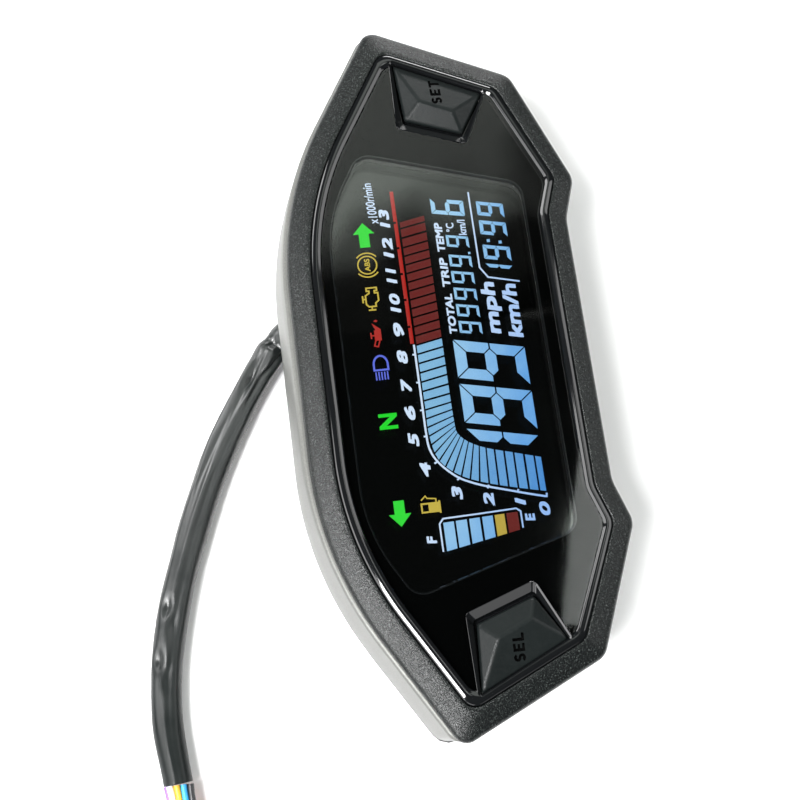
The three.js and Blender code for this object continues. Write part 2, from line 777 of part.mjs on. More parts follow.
function wireRoute(index) {
  const column = index % (WIRE_COUNT / WIRE_ROWS);
  const row = Math.floor(index / (WIRE_COUNT / WIRE_ROWS));
  const across = column - (WIRE_COUNT / WIRE_ROWS - 1) / 2;
  const above = row - (WIRE_ROWS - 1) / 2;
  const [sleeveX, sleeveY, sleeveZ] = SLEEVE_ROUTE.at(-1);
  const startX = sleeveX - GAP;
  const middle = CONNECTOR_HEIGHT / 2;
  const sway = 1.2 * Math.sin(index * 2.1);
  const startY = sleeveY + (across - above / 2) * WIRE_START_PITCH;
  const startZ = sleeveZ + above * WIRE_START_PITCH;
  return [
    [startX, startY, startZ],
    [startX - 6, startY - 0.6, startZ],
    [startX - 24, sleeveY - 3.2 + across * 4.2 + 0.3 * sway, sleeveZ + above * 2.6],
    [startX - 42, CONNECTOR_Y + 1.2 + across * 4.2 - 0.3 * sway, middle + above * 2.8],
    [CONNECTOR_BACK + 7, CONNECTOR_Y + across * WIRE_END_PITCH, middle + above * WIRE_END_PITCH],
    [CONNECTOR_BACK + GAP, CONNECTOR_Y + across * WIRE_END_PITCH, middle + above * WIRE_END_PITCH],
  ];
}

function connectorHousing() {
  const middleX = CONNECTOR_BACK - CONNECTOR_LENGTH / 2;
  const body = block(middleX, CONNECTOR_Y, 0, CONNECTOR_LENGTH, CONNECTOR_WIDTH, CONNECTOR_HEIGHT);
  const rear = block(CONNECTOR_BACK - 3, CONNECTOR_Y, 0, 6, CONNECTOR_WIDTH + 2, CONNECTOR_HEIGHT);
  const mouth = block(
    CONNECTOR_BACK - CONNECTOR_LENGTH, CONNECTOR_Y, 1.4, 22, CONNECTOR_WIDTH - 2.8, CONNECTOR_HEIGHT - 2.8);
  return sculpt(body, { add: [rear], cut: [mouth] });
}

function connectorLatch() {
  const top = CONNECTOR_HEIGHT + GAP;
  const arm = block(CONNECTOR_BACK - 9, CONNECTOR_Y, top, 13, 5, 1.2);
  const tab = block(CONNECTOR_BACK - 4, CONNECTOR_Y, top + 0.6, 3, 5, 1.5);
  return sculpt(arm, { add: [tab] });
}

const WIRE_COLOURS = [
  ['red', 0xb8322c],
  ['orange', 0xe07b2a],
  ['green', 0x2f8f4e],
  ['purple', 0x6b4ba0],
  ['black', 0x1b1b1d],
  ['blue', 0x2f9fd8],
  ['yellow', 0xe3a520],
  ['white', 0xe4e4e2],
];

function addOuterHarness(root) {
  const group = assembly(root, 'outer_harness_group');
  piece(group, 'harness_sleeve', cord(SLEEVE_ROUTE, SLEEVE_RADIUS, 12, 9), FINISHES.sleeve);
  WIRE_COLOURS.forEach(([name, colour], i) => {
    piece(group, `${name}_wire`, cord(wireRoute(i), WIRE_RADIUS, 8, 4), finish(colour, 0.5));
  });
  piece(group, 'connector_housing', connectorHousing(), FINISHES.whitePlastic);
  piece(group, 'connector_latch', connectorLatch(), FINISHES.whitePlastic);
}

// ---------------------------------------------------------------- whole meter
const cluster = new THREE.Group();
cluster.name = 'instrument_cluster';
cluster.position.y = CENTRE_SHIFT;
addCase(cluster);
addFront(cluster);
addButtons(cluster);
addDisplay(cluster);
addBoard(cluster);
addInnerHarness(cluster);
addOuterHarness(cluster);

export default cluster;
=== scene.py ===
"""Looks of the motorcycle instrument cluster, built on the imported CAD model."""

import json
from math import acos, atan2, cos, exp, pi, radians, sin, tan

import bmesh
import bpy
from mathutils import Matrix, Vector, noise

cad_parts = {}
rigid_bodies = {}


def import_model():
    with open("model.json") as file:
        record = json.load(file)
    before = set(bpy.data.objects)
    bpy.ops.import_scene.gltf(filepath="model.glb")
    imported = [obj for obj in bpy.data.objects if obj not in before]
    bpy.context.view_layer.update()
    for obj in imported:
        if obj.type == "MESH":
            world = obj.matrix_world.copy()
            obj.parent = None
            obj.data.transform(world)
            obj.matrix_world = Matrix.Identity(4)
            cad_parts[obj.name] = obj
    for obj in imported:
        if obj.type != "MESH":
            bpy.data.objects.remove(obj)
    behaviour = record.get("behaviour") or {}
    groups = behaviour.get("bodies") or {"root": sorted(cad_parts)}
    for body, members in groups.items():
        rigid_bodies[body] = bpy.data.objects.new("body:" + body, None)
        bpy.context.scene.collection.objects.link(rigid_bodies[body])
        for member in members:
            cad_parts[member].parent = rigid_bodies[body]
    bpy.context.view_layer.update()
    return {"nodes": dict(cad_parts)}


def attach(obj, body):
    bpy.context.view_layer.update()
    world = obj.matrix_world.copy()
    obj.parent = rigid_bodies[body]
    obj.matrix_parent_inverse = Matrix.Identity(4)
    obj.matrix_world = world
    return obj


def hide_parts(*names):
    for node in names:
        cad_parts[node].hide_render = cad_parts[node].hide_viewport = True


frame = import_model()

MM = 0.001
CENTRE_SHIFT = 8.88  # the CAD outline is moved this far along +Y
BODY = "meter"

# Heights above the table, in millimetres, as in the CAD.
LEDGE_BOTTOM = 30.6
POCKET_FLOOR = 31.8
DECK_TOP = 26.6
GLASS_TOP = 28.5
INK = GLASS_TOP + 0.06  # the plane of the lit display segments


def at(x, y, z):
    """A point of the CAD's own millimetre system, in the row frame."""
    return Vector((x * MM, (y + CENTRE_SHIFT) * MM, z * MM))


# ---------------------------------------------------------------- camera
SENSOR_WIDTH = 36
LENS_LENGTH = 61.695
CAMERA_PLACE = Vector((-0.0970, 0.0484, 0.3532))
CAMERA_FORWARD = Vector((0.2637, -0.1075, -0.9586))
CAMERA_UP = Vector((0.956, -0.1035, 0.2746))


def add_object(name, data):
    made = bpy.data.objects.new(name, data)
    bpy.context.scene.collection.objects.link(made)
    return made


def make_camera():
    data = bpy.data.cameras.new("camera")
    data.sensor_width = SENSOR_WIDTH
    data.lens = LENS_LENGTH
    camera = add_object("camera", data)
    back = -CAMERA_FORWARD.normalized()
    right = CAMERA_UP.cross(back).normalized()
    up = back.cross(right)
    turn = Matrix((right, up, back)).transposed()
    camera.matrix_world = Matrix.Translation(CAMERA_PLACE) @ turn.to_4x4()
    bpy.context.scene.camera = camera


# ---------------------------------------------------------------- materials
class Finish:
    """A material under construction: its texture nodes, and the surface they feed."""

    def __init__(self, name):
        self.material = bpy.data.materials.new(name)
        self.material.use_nodes = True
        self.tree = self.material.node_tree
        self.shader = self.tree.nodes["Principled BSDF"]

    def feed(self, node, inputs):
        """Links each socket that is given another socket, and sets the others."""
        for socket, value in inputs.items():
            if isinstance(value, bpy.types.NodeSocket):
                self.tree.links.new(value, node.inputs[socket])
            else:
                node.inputs[socket].default_value = value

    def add(self, kind, inputs, **settings):
        node = self.tree.nodes.new(f"ShaderNode{kind}")
        for setting, value in settings.items():
            setattr(node, setting, value)
        self.feed(node, inputs)
        return node.outputs

    def place(self):
        return self.add("TexCoord", {})["Object"]

    def noise(self, scale, detail=3.0, roughness=0.55):
        return self.add("TexNoise", {
            "Vector": self.place(), "Scale": scale, "Detail": detail, "Roughness": roughness})["Fac"]

    def ramp(self, source, stops):
        node = self.tree.nodes.new("ShaderNodeValToRGB")
        elements = node.color_ramp.elements
        while len(elements) < len(stops):
            elements.new(0.5)
        for element, (place, colour) in zip(elements, stops):
            element.position = place
            element.color = (*colour, 1)
        self.feed(node, {"Fac": source})
        return node.outputs["Color"]

    def levels(self, source, *stops):
        """A ramp of greys, for a socket that takes one number."""
        return self.ramp(source, [(place, (value,) * 3) for place, value in stops])

    def multiply_add(self, source, factor, added):
        return self.add("Math", {0: source, 1: factor, 2: added}, operation="MULTIPLY_ADD")["Value"]

    def bump(self, height, strength, distance):
        return self.add("Bump", {
            "Height": height, "Strength": strength, "Distance": distance})["Normal"]

    def surface(self, inputs):
        self.feed(self.shader, inputs)
        return self.material

    def own_surface(self, output):
        """Uses another shader instead of the standard one."""
        self.tree.nodes.remove(self.shader)
        self.feed(self.tree.nodes["Material Output"], {"Surface": output})
        return self.material


def shade(colour, factor):
    return tuple(min(1, c * factor) for c in colour)


def moulded(name, colour, roughness, grain=900, depth=0.06, spread=0.12, metallic=0.0, specular=0.5):
    """Moulded plastic, rubber or metal: a slow colour drift, a fine grain and uneven gloss."""
    finish = Finish(name)
    fine = finish.noise(grain, 4)
    tones = [(0.3, shade(colour, 1 - spread)), (0.7, shade(colour, 1 + spread))]
    low = max(0.02, roughness - 0.07)
    high = min(1, roughness + 0.07)
    return finish.surface({
        "Base Color": finish.ramp(finish.noise(60), tones),
        "Roughness": finish.levels(fine, (0.35, low), (0.65, high)),
        "Metallic": metallic,
        "Specular IOR Level": specular,
        "Normal": finish.bump(fine, depth, 0.0002),
    })


def spark_texture(name):
    """Dark spark-eroded plastic of the bezel, with pale flecks in its grain."""
    finish = Finish(name)
    grain = finish.noise(2500, 3, 0.75)
    tones = [(0.42, (0.003, 0.004, 0.004)), (0.6, (0.010, 0.012, 0.0115)), (0.76, (0.07, 0.078, 0.074))]
    return finish.surface({
        "Base Color": finish.ramp(finish.noise(2300, 2, 0.8), tones),
        "Roughness": finish.levels(grain, (0.35, 0.17), (0.65, 0.26)),
        "Specular IOR Level": 0.31,
        "Normal": finish.bump(grain, 0.42, 0.0003),
    })


def silver_paint(name):
    """Satin silver paint: fine metal flake under a thin clear coat."""
    finish = Finish(name)
    flake = finish.noise(2600, 4, 0.7)
    return finish.surface({
        "Base Color": finish.ramp(flake, [(0.3, (0.112, 0.114, 0.107)), (0.7, (0.172, 0.174, 0.164))]),
        "Metallic": 0.35,
        "Roughness": 0.42,
        "Specular IOR Level": 0.3,
        "Coat Weight": 0.05,
        "Coat Roughness": 0.2,
        "Normal": finish.bump(flake, 0.1, 0.0001),
    })


def gloss_black(name, colour=(0.005, 0.0055, 0.006), roughness=0.06, specular=0.5):
    """Glossy black plastic with a little dust, and a faint unevenness in its gloss."""
    finish = Finish(name)
    dust = finish.noise(1300, 1, 0.9)
    patches = finish.noise(90, 3)
    return finish.surface({
        "Base Color": finish.ramp(dust, [(0.80, colour), (0.86, shade(colour, 6))]),
        "Roughness": finish.levels(patches, (0.35, roughness * 0.8), (0.7, roughness * 1.3)),
        "Specular IOR Level": specular,
    })


def clear_panel(name, index, tint):
    """Clear plastic: see-through, and only its front face reflects, so the display stays sharp."""
    finish = Finish(name)
    clear = finish.add("BsdfTransparent", {"Color": (*tint, 1)})["BSDF"]
    smear = finish.levels(finish.noise(40, 3), (0.35, 0.02), (0.75, 0.06))
    mirror = finish.add("BsdfGlossy", {"Roughness": smear})["BSDF"]
    shine = finish.add("Fresnel", {"IOR": index})["Fac"]
    behind = finish.add("NewGeometry", {})["Backfacing"]
    share = finish.add("Math", {0: shine, 1: behind}, operation="SUBTRACT", use_clamp=True)["Value"]
    return finish.own_surface(finish.add("MixShader", {"Fac": share, 1: clear, 2: mirror})["Shader"])


def lit(name, near, far, strength):
    """A lit display segment: the back light is weakest at the lower left corner of the display."""
    finish = Finish(name)
    split = finish.add("SeparateXYZ", {"Vector": finish.place()})
    slope = finish.multiply_add(split["X"], 0.22, split["Y"])
    spread = finish.add("MapRange", {"Value": slope, "From Min": -0.028, "From Max": 0.010})["Result"]
    uneven = finish.multiply_add(finish.noise(260, 2), 0.35, spread)
    return finish.surface({
        "Emission Color": finish.ramp(uneven, [(0.1, near), (1.0, far)]),
        "Base Color": (0.01, 0.01, 0.01, 1),
        "Emission Strength": strength,
        "Specular IOR Level": 0.05,
    })


def vinyl(name):
    """Soft black sleeving with a patchy sheen, which fades towards its cut end."""
    finish = Finish(name)
    patch = finish.noise(160, 4, 0.6)
    along_x = finish.add("SeparateXYZ", {"Vector": finish.place()})["X"]
    sheen = finish.add("MapRange", {
        "Value": along_x, "From Min": -0.080, "From Max": -0.025, "To Min": 0.22, "To Max": 1.0})
    return finish.surface({
        "Base Color": finish.ramp(patch, [(0.3, (0.005, 0.007, 0.007)), (0.75, (0.010, 0.0125, 0.012))]),
        "Roughness": finish.levels(patch, (0.3, 0.30), (0.75, 0.40)),
        "Specular IOR Level": sheen["Result"],
        "Normal": finish.bump(finish.noise(900, 3, 0.6), 0.06, 0.0003),
    })


def circuit_board(name):
    """Green solder mask with paler tracks."""
    finish = Finish(name)
    tracks = finish.add("TexBrick", {
        "Vector": finish.place(), "Scale": 260, "Mortar Size": 0.03,
        "Color1": (0.015, 0.11, 0.04, 1), "Color2": (0.02, 0.14, 0.05, 1),
        "Mortar": (0.06, 0.27, 0.11, 1)})
    return finish.surface({
        "Base Color": tracks["Color"],
        "Roughness": 0.35,
        "Normal": finish.bump(tracks["Fac"], 0.3, 0.0001),
    })


def floor_material():
    finish = Finish("white_table")
    return finish.surface({
        "Base Color": finish.levels(finish.noise(8), (0.3, 0.86), (0.7, 0.88)),
        "Roughness": 0.6,
        "Emission Color": (1, 1, 1, 1),
        "Emission Strength": 0.1,
    })


# ---------------------------------------------------------------- outlines, as in the CAD
OUTER_HALF = {
    "tip": (92.4, -0.2, 3.5, 8),
    "shoulder": (45.7, 27.5, 90, 22),
    "side": (75.9, -36.4, 5, 7),
    "end": (45.1, -48.7, 5, 7),
    "waist": (34.5, -45.2, 10, 6),
}
# Rear edge of the silver case: flared out past the outer outline along its upper long side only.
FLARED_HALF = dict(OUTER_HALF, tip=(91.4, 2.6, 5, 8), shoulder=(45.7, 30.6, 90, 22))
LENS_HALF = {
    "tip": (82.3, -3.8, 3.5, 8),
    "shoulder": (43.1, 19.7, 75, 22),
    "side": (70.4, -30.5, 4, 7),
    "end": (44.9, -41.6, 4, 7),
    "waist": (36, -38.6, 8, 6),
}
POCKET_CORNERS = [
    (82.0, -5.0, 0.8, 4),
    (62.4, -4.7, 1.5, 5),
    (56.5, -22.0, 1.5, 5),
    (71.0, -28.9, 0.8, 4),
]
CAP_CORNERS = [(81.0, -6.0), (65.0, -7.1), (60.0, -21.5), (70.9, -28.1)]
CAP_RIDGE = [(69.0, -11.3), (65.4, -19.7)]
WINDOW_CORNERS = [
    (57.5, 6, 5, 8),
    (40, 16.2, 42, 16),
    (-40, 16.2, 42, 16),
    (-57.5, 6, 5, 8),
    (-45.6, -35, 5, 8),
    (45.6, -35, 5, 8),
]


def mirrored(half):
    right = [half["tip"], half["shoulder"]]
    lower = [half["waist"], half["end"], half["side"]]

    def flipped(corners):
        return [(-x, y, r, n) for x, y, r, n in reversed(corners)]

    return right + flipped(right) + flipped(lower) + lower


OUTER = mirrored(OUTER_HALF)
LENS = mirrored(LENS_HALF)
FLARED = mirrored(FLARED_HALF)


def mirror_x(corners):
    return [(-corner[0], *corner[1:]) for corner in reversed(corners)]


SMALLEST_RADIUS = 0.4


def offset_corners(corners, distance):
    """Corners moved outwards by distance; the list runs counter-clockwise."""
    moved = []
    for i, (x, y, r, n) in enumerate(corners):
        here = Vector((x, y))
        before = (here - Vector(corners[i - 1][:2])).normalized()
        after = (Vector(corners[(i + 1) % len(corners)][:2]) - here).normalized()
        bend = 1 + before.dot(after)
        shift = Vector((before.y + after.y, -(before.x + after.x))) * distance / bend
        outward = before.x * after.y - before.y * after.x > 0
        radius = r + distance if outward else r - distance
        moved.append((x + shift.x, y + shift.y, max(radius, SMALLEST_RADIUS), n))
    return moved


def rounded_points(corners):
    """An outline's points, with each corner (x, y, radius, steps) rounded."""
    points = []
    for i, (x, y, r, n) in enumerate(corners):
        here = Vector((x, y))
        back = (Vector(corners[i - 1][:2]) - here).normalized()
        ahead = (Vector(corners[(i + 1) % len(corners)][:2]) - here).normalized()
        half = acos(max(-1, min(1, back.dot(ahead)))) / 2
        centre = here + (back + ahead).normalized() * r / sin(half)
        start = here + back * r / tan(half) - centre
        end = here + ahead * r / tan(half) - centre
        sweep = atan2(start.x * end.y - start.y * end.x, start.dot(end))
        for k in range(n + 1):
            points.append(centre + Matrix.Rotation(sweep * k / n, 2) @ start)
    return points


def band_points(t, flare=0.0):
    """The outline at t in the band from the outer edge (0) to the lens edge (1), plus the flare."""
    corners = []
    for outer, lens, flared in zip(OUTER, LENS, FLARED):
        x, y, radius = (
            a + (b - a) * t + (c - a) * flare for a, b, c in zip(outer[:3], lens[:3], flared[:3]))
        corners.append((x, y, radius, outer[3]))
    return rounded_points(corners)


# ---------------------------------------------------------------- meshes
def level(outline, z):
    """A flat outline, raised to a height."""
    return [at(p.x, p.y, z) for p in outline]


def mesh_piece(name, points, faces, material, smooth=30):
    mesh = bpy.data.meshes.new(name)
    mesh.from_pydata([tuple(p) for p in points], [], faces)
    mesh.validate()
    clean = bmesh.new()
    clean.from_mesh(mesh)
    bmesh.ops.recalc_face_normals(clean, faces=clean.faces)
    clean.to_mesh(mesh)
    clean.free()
    mesh.shade_smooth()
    mesh.set_sharp_from_angle(angle=radians(smooth))
    mesh.materials.append(material)
    return add_object(name, mesh)


def flat_loops(loops):
    return [point for loop in loops for point in loop]


def join_loops(loops, closed):
    """Faces between matching loops of points, listed one loop after another."""
    count = len(loops[0])
    rows = len(loops)
    faces = []
    for k in range(rows if closed else rows - 1):
        for i in range(count):
            j = (i + 1) % count
            a, b = k * count, (k + 1) % rows * count
            faces.append((a + i, a + j, b + j, b + i))
    return faces


def ring_piece(name, loops, material, smooth):
    """A closed ring skinned over matching loops."""
    return mesh_piece(name, flat_loops(loops), join_loops(loops, True), material, smooth)


def band_ring(name, profile, material, smooth):
    """Ring that follows the meter's outline; the profile is a closed loop of (t, z)."""
    return ring_piece(name, [level(band_points(t), z) for t, z in profile], material, smooth)


def solid_object(name, mesh, material):
    """Hands a finished bmesh over to a new object."""
    bmesh.ops.recalc_face_normals(mesh, faces=mesh.faces[:])
    data = bpy.data.meshes.new(name)
    mesh.to_mesh(data)
    mesh.free()
    data.materials.append(material)
    return add_object(name, data)


def extrude_up(mesh, height):
    raised = bmesh.ops.extrude_face_region(mesh, geom=mesh.faces[:])["geom"]
    lifted = [item for item in raised if isinstance(item, bmesh.types.BMVert)]
    bmesh.ops.translate(mesh, verts=lifted, vec=(0, 0, height * MM))


def slab(name, outline, holes, bottom, top, material):
    """Flat plate between two heights, with holes."""
    mesh = bmesh.new()
    for loop in [outline, *holes]:
        corners = [mesh.verts.new(point) for point in level(loop, bottom)]
        for i, corner in enumerate(corners):
            mesh.edges.new((corners[i - 1], corner))
    bmesh.ops.triangle_fill(mesh, use_beauty=True, edges=mesh.edges[:])
    extrude_up(mesh, top - bottom)
    return solid_object(name, mesh, material)


def settle(piece):
    """Turns the piece's modifiers into plain geometry."""
    bpy.context.view_layer.update()
    shaped = piece.evaluated_get(bpy.context.evaluated_depsgraph_get())
    data = bpy.data.meshes.new_from_object(shaped)
    piece.modifiers.clear()
    piece.data = data


def carve(piece, cutters):
    """Cuts other shapes out of a piece and takes them away again."""
    for cutter in cutters:
        knife = piece.modifiers.new("cut", "BOOLEAN")
        knife.operation = "DIFFERENCE"
        knife.solver = "EXACT"
        knife.material_mode = "TRANSFER"
        knife.object = cutter
    settle(piece)
    for cutter in cutters:
        bpy.data.objects.remove(cutter)


def add_bevel(piece, width, segments, angle):
    bevel = piece.modifiers.new("edge", "BEVEL")
    bevel.width = width * MM
    bevel.segments = segments
    bevel.limit_method = "ANGLE"
    bevel.angle_limit = radians(angle)
    bevel.harden_normals = True


def finish_piece(piece, body, slot, *nodes):
    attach(piece, body)
    if nodes:
        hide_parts(*nodes)


# ---------------------------------------------------------------- case
CASE_BOTTOM = 14.6
CASE_TOP = 31.5
CASE_LEDGE_FLARE = 0.36
WALL_TOP = CASE_TOP - 0.7
FLARE_START = 17.5
SEAM_LOW = 15.6
SEAM_HIGH = 29.4
SEAM_GROOVE = 0.15
# Places across the band, as shares of its width.
SEAM_DEPTH = 0.06
REAR_INSET = 0.018
WALL_INSIDE = 0.28


def seam_height(x):
    """The parting line climbs from the rear edge towards the left-hand end."""
    share = max(0, min(1, (12 - x) / 76))
    return SEAM_LOW + (SEAM_HIGH - SEAM_LOW) * share * share * (3 - 2 * share)


def wall_flare(z):
    """How far the wall has flared out at a height: fully at its rear, less towards the ledge."""
    return 1 - (1 - CASE_LEDGE_FLARE) * max(0, z - FLARE_START) / (CASE_TOP - FLARE_START)


def wall_loop(inset, height_at):
    """One line round the wall, whose height is worked out from the parting line's height."""
    loop = []
    for high, low in zip(band_points(inset, 0), band_points(inset, 1)):
        z = height_at(seam_height(low.x))
        spot = high.lerp(low, wall_flare(z))
        loop.append(at(spot.x, spot.y, z))
    return loop


def under_seam(share):
    return lambda seam: CASE_BOTTOM + (seam - SEAM_GROOVE - CASE_BOTTOM) * share


def over_seam(share):
    return lambda seam: seam + SEAM_GROOVE + (WALL_TOP - seam - SEAM_GROOVE) * share


def make_case(materials):
    """Silver wall with its parting line, and the deck behind the display."""
    loops = [wall_loop(REAR_INSET, under_seam(share)) for share in (0, 0.3, 0.6, 1)]
    loops.append(wall_loop(SEAM_DEPTH, lambda seam: seam))
    loops += [wall_loop(0, over_seam(share)) for share in (0, 0.04, 0.35, 0.7, 1)]
    for t, z, flare in (
            (0.01, CASE_TOP - 0.35, CASE_LEDGE_FLARE), (0.04, CASE_TOP - 0.1, CASE_LEDGE_FLARE),
            (0.09, CASE_TOP, CASE_LEDGE_FLARE), (WALL_INSIDE, CASE_TOP, 0), (WALL_INSIDE, 24, 0),
            (WALL_INSIDE, 18.8, 0.7), (WALL_INSIDE, CASE_BOTTOM, 0)):
        loops.append(level(band_points(t, flare), z))
    wall = ring_piece("side_case_wall", loops, materials["silver"], 35)
    finish_piece(wall, BODY, "silver_case", "side_case")
    opening = rounded_points(offset_corners(WINDOW_CORNERS, 2.6))
    deck = slab("side_case_deck", band_points(0.27), [opening], 24.6, DECK_TOP, materials["silver"])
    finish_piece(deck, BODY, "silver_case", "side_case")


# ---------------------------------------------------------------- front
LENS_EDGE = 1.12
LENS_BOTTOM = 33.1
LENS_TOP = 35.1


def make_bezel(materials):
    ring = band_ring("bezel_ring_fine", [
        (0.05, 31.8), (0.005, 31.9), (0, 32.3), (0.008, 32.75), (0.03, 33.15), (0.065, 33.5),
        (0.11, 33.76), (0.17, 33.96), (0.25, 34.17), (0.4, 34.55), (0.55, 34.92), (0.63, 35.09),
        (0.68, 35.17), (0.71, 35.17), (0.74, 35.08), (0.757, 34.92), (0.765, 34.7), (0.765, 26.9),
        (0.34, 26.9), (0.34, 31.8),
    ], materials["bezel"], 50)
    finish_piece(ring, BODY, "textured_bezel", "bezel_ring")


def pocket_outline(side, distance):
    corners = POCKET_CORNERS if side > 0 else mirror_x(POCKET_CORNERS)
    return rounded_points(offset_corners(corners, distance))


def pocket_cutters(distance, material, bottom=33):
    return [
        slab("pocket_cutter", pocket_outline(side, distance), [], bottom, 38, material)
        for side in (1, -1)
    ]


def make_trim(materials):
    """Gloss frame round the lens: a rounded lip that runs down to the lens, and a ledge under it."""
    lip = band_ring("lens_trim_lip", [
        (0.78, 26.9), (0.78, 34.8), (0.785, 35.0), (0.795, 35.13), (0.815, 35.23), (0.85, 35.33),
        (0.89, 35.43), (0.93, 35.51), (0.96, 35.54), (0.985, 35.52), (1.01, 35.44), (1.035, 35.33),
        (1.06, 35.22), (1.09, 35.12),
        (1.105, 35.0), (1.11, 34.8), (1.11, 32.8), (0.97, 32.8), (0.97, 31.9), (1.1, 31.9),
        (1.1, LEDGE_BOTTOM), (0.93, LEDGE_BOTTOM), (0.93, 26.9),
    ], materials["trim"], 50)
    carve(lip, pocket_cutters(0.12, materials["trim"]))
    finish_piece(lip, BODY, "gloss_trim", "lens_trim")
    for name, side in (("set", 1), ("sel", -1)):
        make_pocket(f"{name}_pocket", side, materials)


POCKET_BEVEL = 0.4


def pocket_slope(side, share):
    """Outline a share of the way from the pocket's bevel to the edge of the cap in it."""
    corners = []
    inner = offset_corners(POCKET_CORNERS, -POCKET_BEVEL)
    for (x, y, radius, n), (cap_x, cap_y) in zip(inner, CAP_CORNERS):
        corners.append((x + (cap_x - x) * share, y + (cap_y - y) * share, radius, n))
    return rounded_points(corners if side > 0 else mirror_x(corners))


def make_pocket(name, side, materials):
    """Tray round one button: a bevelled rim, a sloping wall, then a deep gap and a floor."""
    section = [
        (0.14, LEDGE_BOTTOM), (0.14, 34.98), (0.11, 35.1), (0.05, 35.14), (-0.02, 35.12),
        (-POCKET_BEVEL, 34.88),
    ]
    loops = [level(pocket_outline(side, distance), z) for distance, z in section]
    for share, z in ((0.6, 34.0), (0.64, 33.3), (0.66, 32.4), (0.8, POCKET_FLOOR)):
        loops.append(level(pocket_slope(side, share), z))
    points = flat_loops(loops)
    faces = join_loops(loops, False)
    faces.append(tuple(range(len(points) - len(loops[-1]), len(points))))
    tray = mesh_piece(name, points, faces, materials["trim"], 12)
    # The tray's outer wall is dull, so that it doesn't shine through the lens.
    tray.data.materials.append(materials["mask"])
    for polygon in tray.data.polygons[:len(loops[0])]:
        polygon.material_index = 1
    finish_piece(tray, BODY, "gloss_trim", "lens_trim")


def make_lens(materials):
    panel = slab("lens_panel_clear", band_points(LENS_EDGE), [], LENS_BOTTOM, LENS_TOP, materials["lens"])
    carve(panel, pocket_cutters(0.16, materials["lens"]))
    finish_piece(panel, BODY, "smoked_lens", "lens_panel")


def make_mask(materials):
    """The black print behind the lens, with the display window in it, and a clear sheet below."""
    window = rounded_points(WINDOW_CORNERS)
    mask = slab("display_mask_print", band_points(1.14), [window], 32.3, 33.0, materials["mask"])
    carve(mask, pocket_cutters(0.2, materials["mask"], 32))
    under = rounded_points(offset_corners(WINDOW_CORNERS, 1))
    sheet = slab("display_mask_sheet", under, [], 32.0, 32.25, materials["sheet"])
    for piece in (mask, sheet, window_rim(materials)):
        finish_piece(piece, BODY, "print_black", "display_mask")


def window_rim(materials):
    """Sloping edge of the display window, which catches a thin line of light."""
    section = [(0.02, 33.02), (-0.25, 33.02), (-0.5, 32.7), (-0.5, 32.3), (0.02, 32.3)]
    loops = [
        level(rounded_points(offset_corners(WINDOW_CORNERS, distance)), z) for distance, z in section]
    return ring_piece("display_window_rim", loops, materials["trim"], 25)


# ---------------------------------------------------------------- buttons
CAP_BOTTOM = 32.9
CAP_EDGE = 34.2
CAP_TOP = 36.6
COLLAR_BOTTOM = 29.1
COLLAR_TOP = 30.3
POST_BOTTOM = 25.7
POST_PLACE = (69.5, -15.8)
LEGEND_PLACE = (71.6, -15.9)
LEGEND_LENGTH = {"SET": 7.6, "SEL": 6.5}
LEGEND_HEIGHT = 2.8
LEGEND_DEPTH = 0.35
LETTER_PITCH = 0.82
LETTER_GAP = 0.18


def cap_corners(side):
    return CAP_CORNERS if side > 0 else mirror_x(CAP_CORNERS)


def cap_mesh(name, side, material):
    """Roof-shaped cap: the large face rises from the outer edge to a short ridge."""
    base = cap_corners(side)
    ridge = CAP_RIDGE if side > 0 else mirror_x(CAP_RIDGE)
    points = [at(x, y, z) for z in (CAP_BOTTOM, CAP_EDGE) for x, y in base]
    points += [at(x, y, CAP_TOP) for x, y in ridge]
    walls = [(i, (i + 1) % 4, (i + 1) % 4 + 4, i + 4) for i in range(4)]
    roof = [(4, 5, 8), (5, 6, 9, 8), (6, 7, 9), (7, 4, 8, 9)]
    return mesh_piece(name, points, walls + [(3, 2, 1, 0)] + roof, material, 25)


def face_height(x, y):
    """Height of the cap's large face, which falls evenly from the ridge to the outer edge."""
    (ridge_x, ridge_y), ridge_end = CAP_RIDGE
    (outer_x, outer_y), outer_end = CAP_CORNERS[0], CAP_CORNERS[3]
    ridge = ridge_x + (ridge_end[0] - ridge_x) * (y - ridge_y) / (ridge_end[1] - ridge_y)
    outer = outer_x + (outer_end[0] - outer_x) * (y - outer_y) / (outer_end[1] - outer_y)
    return CAP_TOP + (CAP_EDGE - CAP_TOP) * (abs(x) - ridge) / (outer - ridge)


def letter_outline(letter):
    """Outline of a bold block letter in a box of 0.66 by 1."""
    if letter == "S":
        upper = arc(0.33, 0.70, 0.19, 20, 270)
        lower = arc(0.33, 0.31, 0.20, 80, -160)
        return stroke_outline(upper + lower, 0.23)
    if letter == "E":
        return [
            (0, 0), (0.64, 0), (0.64, 0.22), (0.24, 0.22), (0.24, 0.4), (0.58, 0.4), (0.58, 0.6),
            (0.24, 0.6), (0.24, 0.78), (0.64, 0.78), (0.64, 1), (0, 1),
        ]
    if letter == "L":
        return [(0, 0), (0.64, 0), (0.64, 0.22), (0.24, 0.22), (0.24, 1), (0, 1)]
    return [(0.21, 0), (0.45, 0), (0.45, 0.78), (0.66, 0.78), (0.66, 1), (0, 1), (0, 0.78), (0.21, 0.78)]


def stroke_outline(line, width):
    """Closed outline of an open line drawn with an even width."""
    left, right = [], []
    for i, point in enumerate(line):
        before = Vector(line[max(i - 1, 0)])
        after = Vector(line[min(i + 1, len(line) - 1)])
        ahead = (after - before).normalized()
        across = Vector((-ahead.y, ahead.x)) * width / 2
        left.append(Vector(point) + across)
        right.append(Vector(point) - across)
    return [(p.x, p.y) for p in left + right[::-1]]


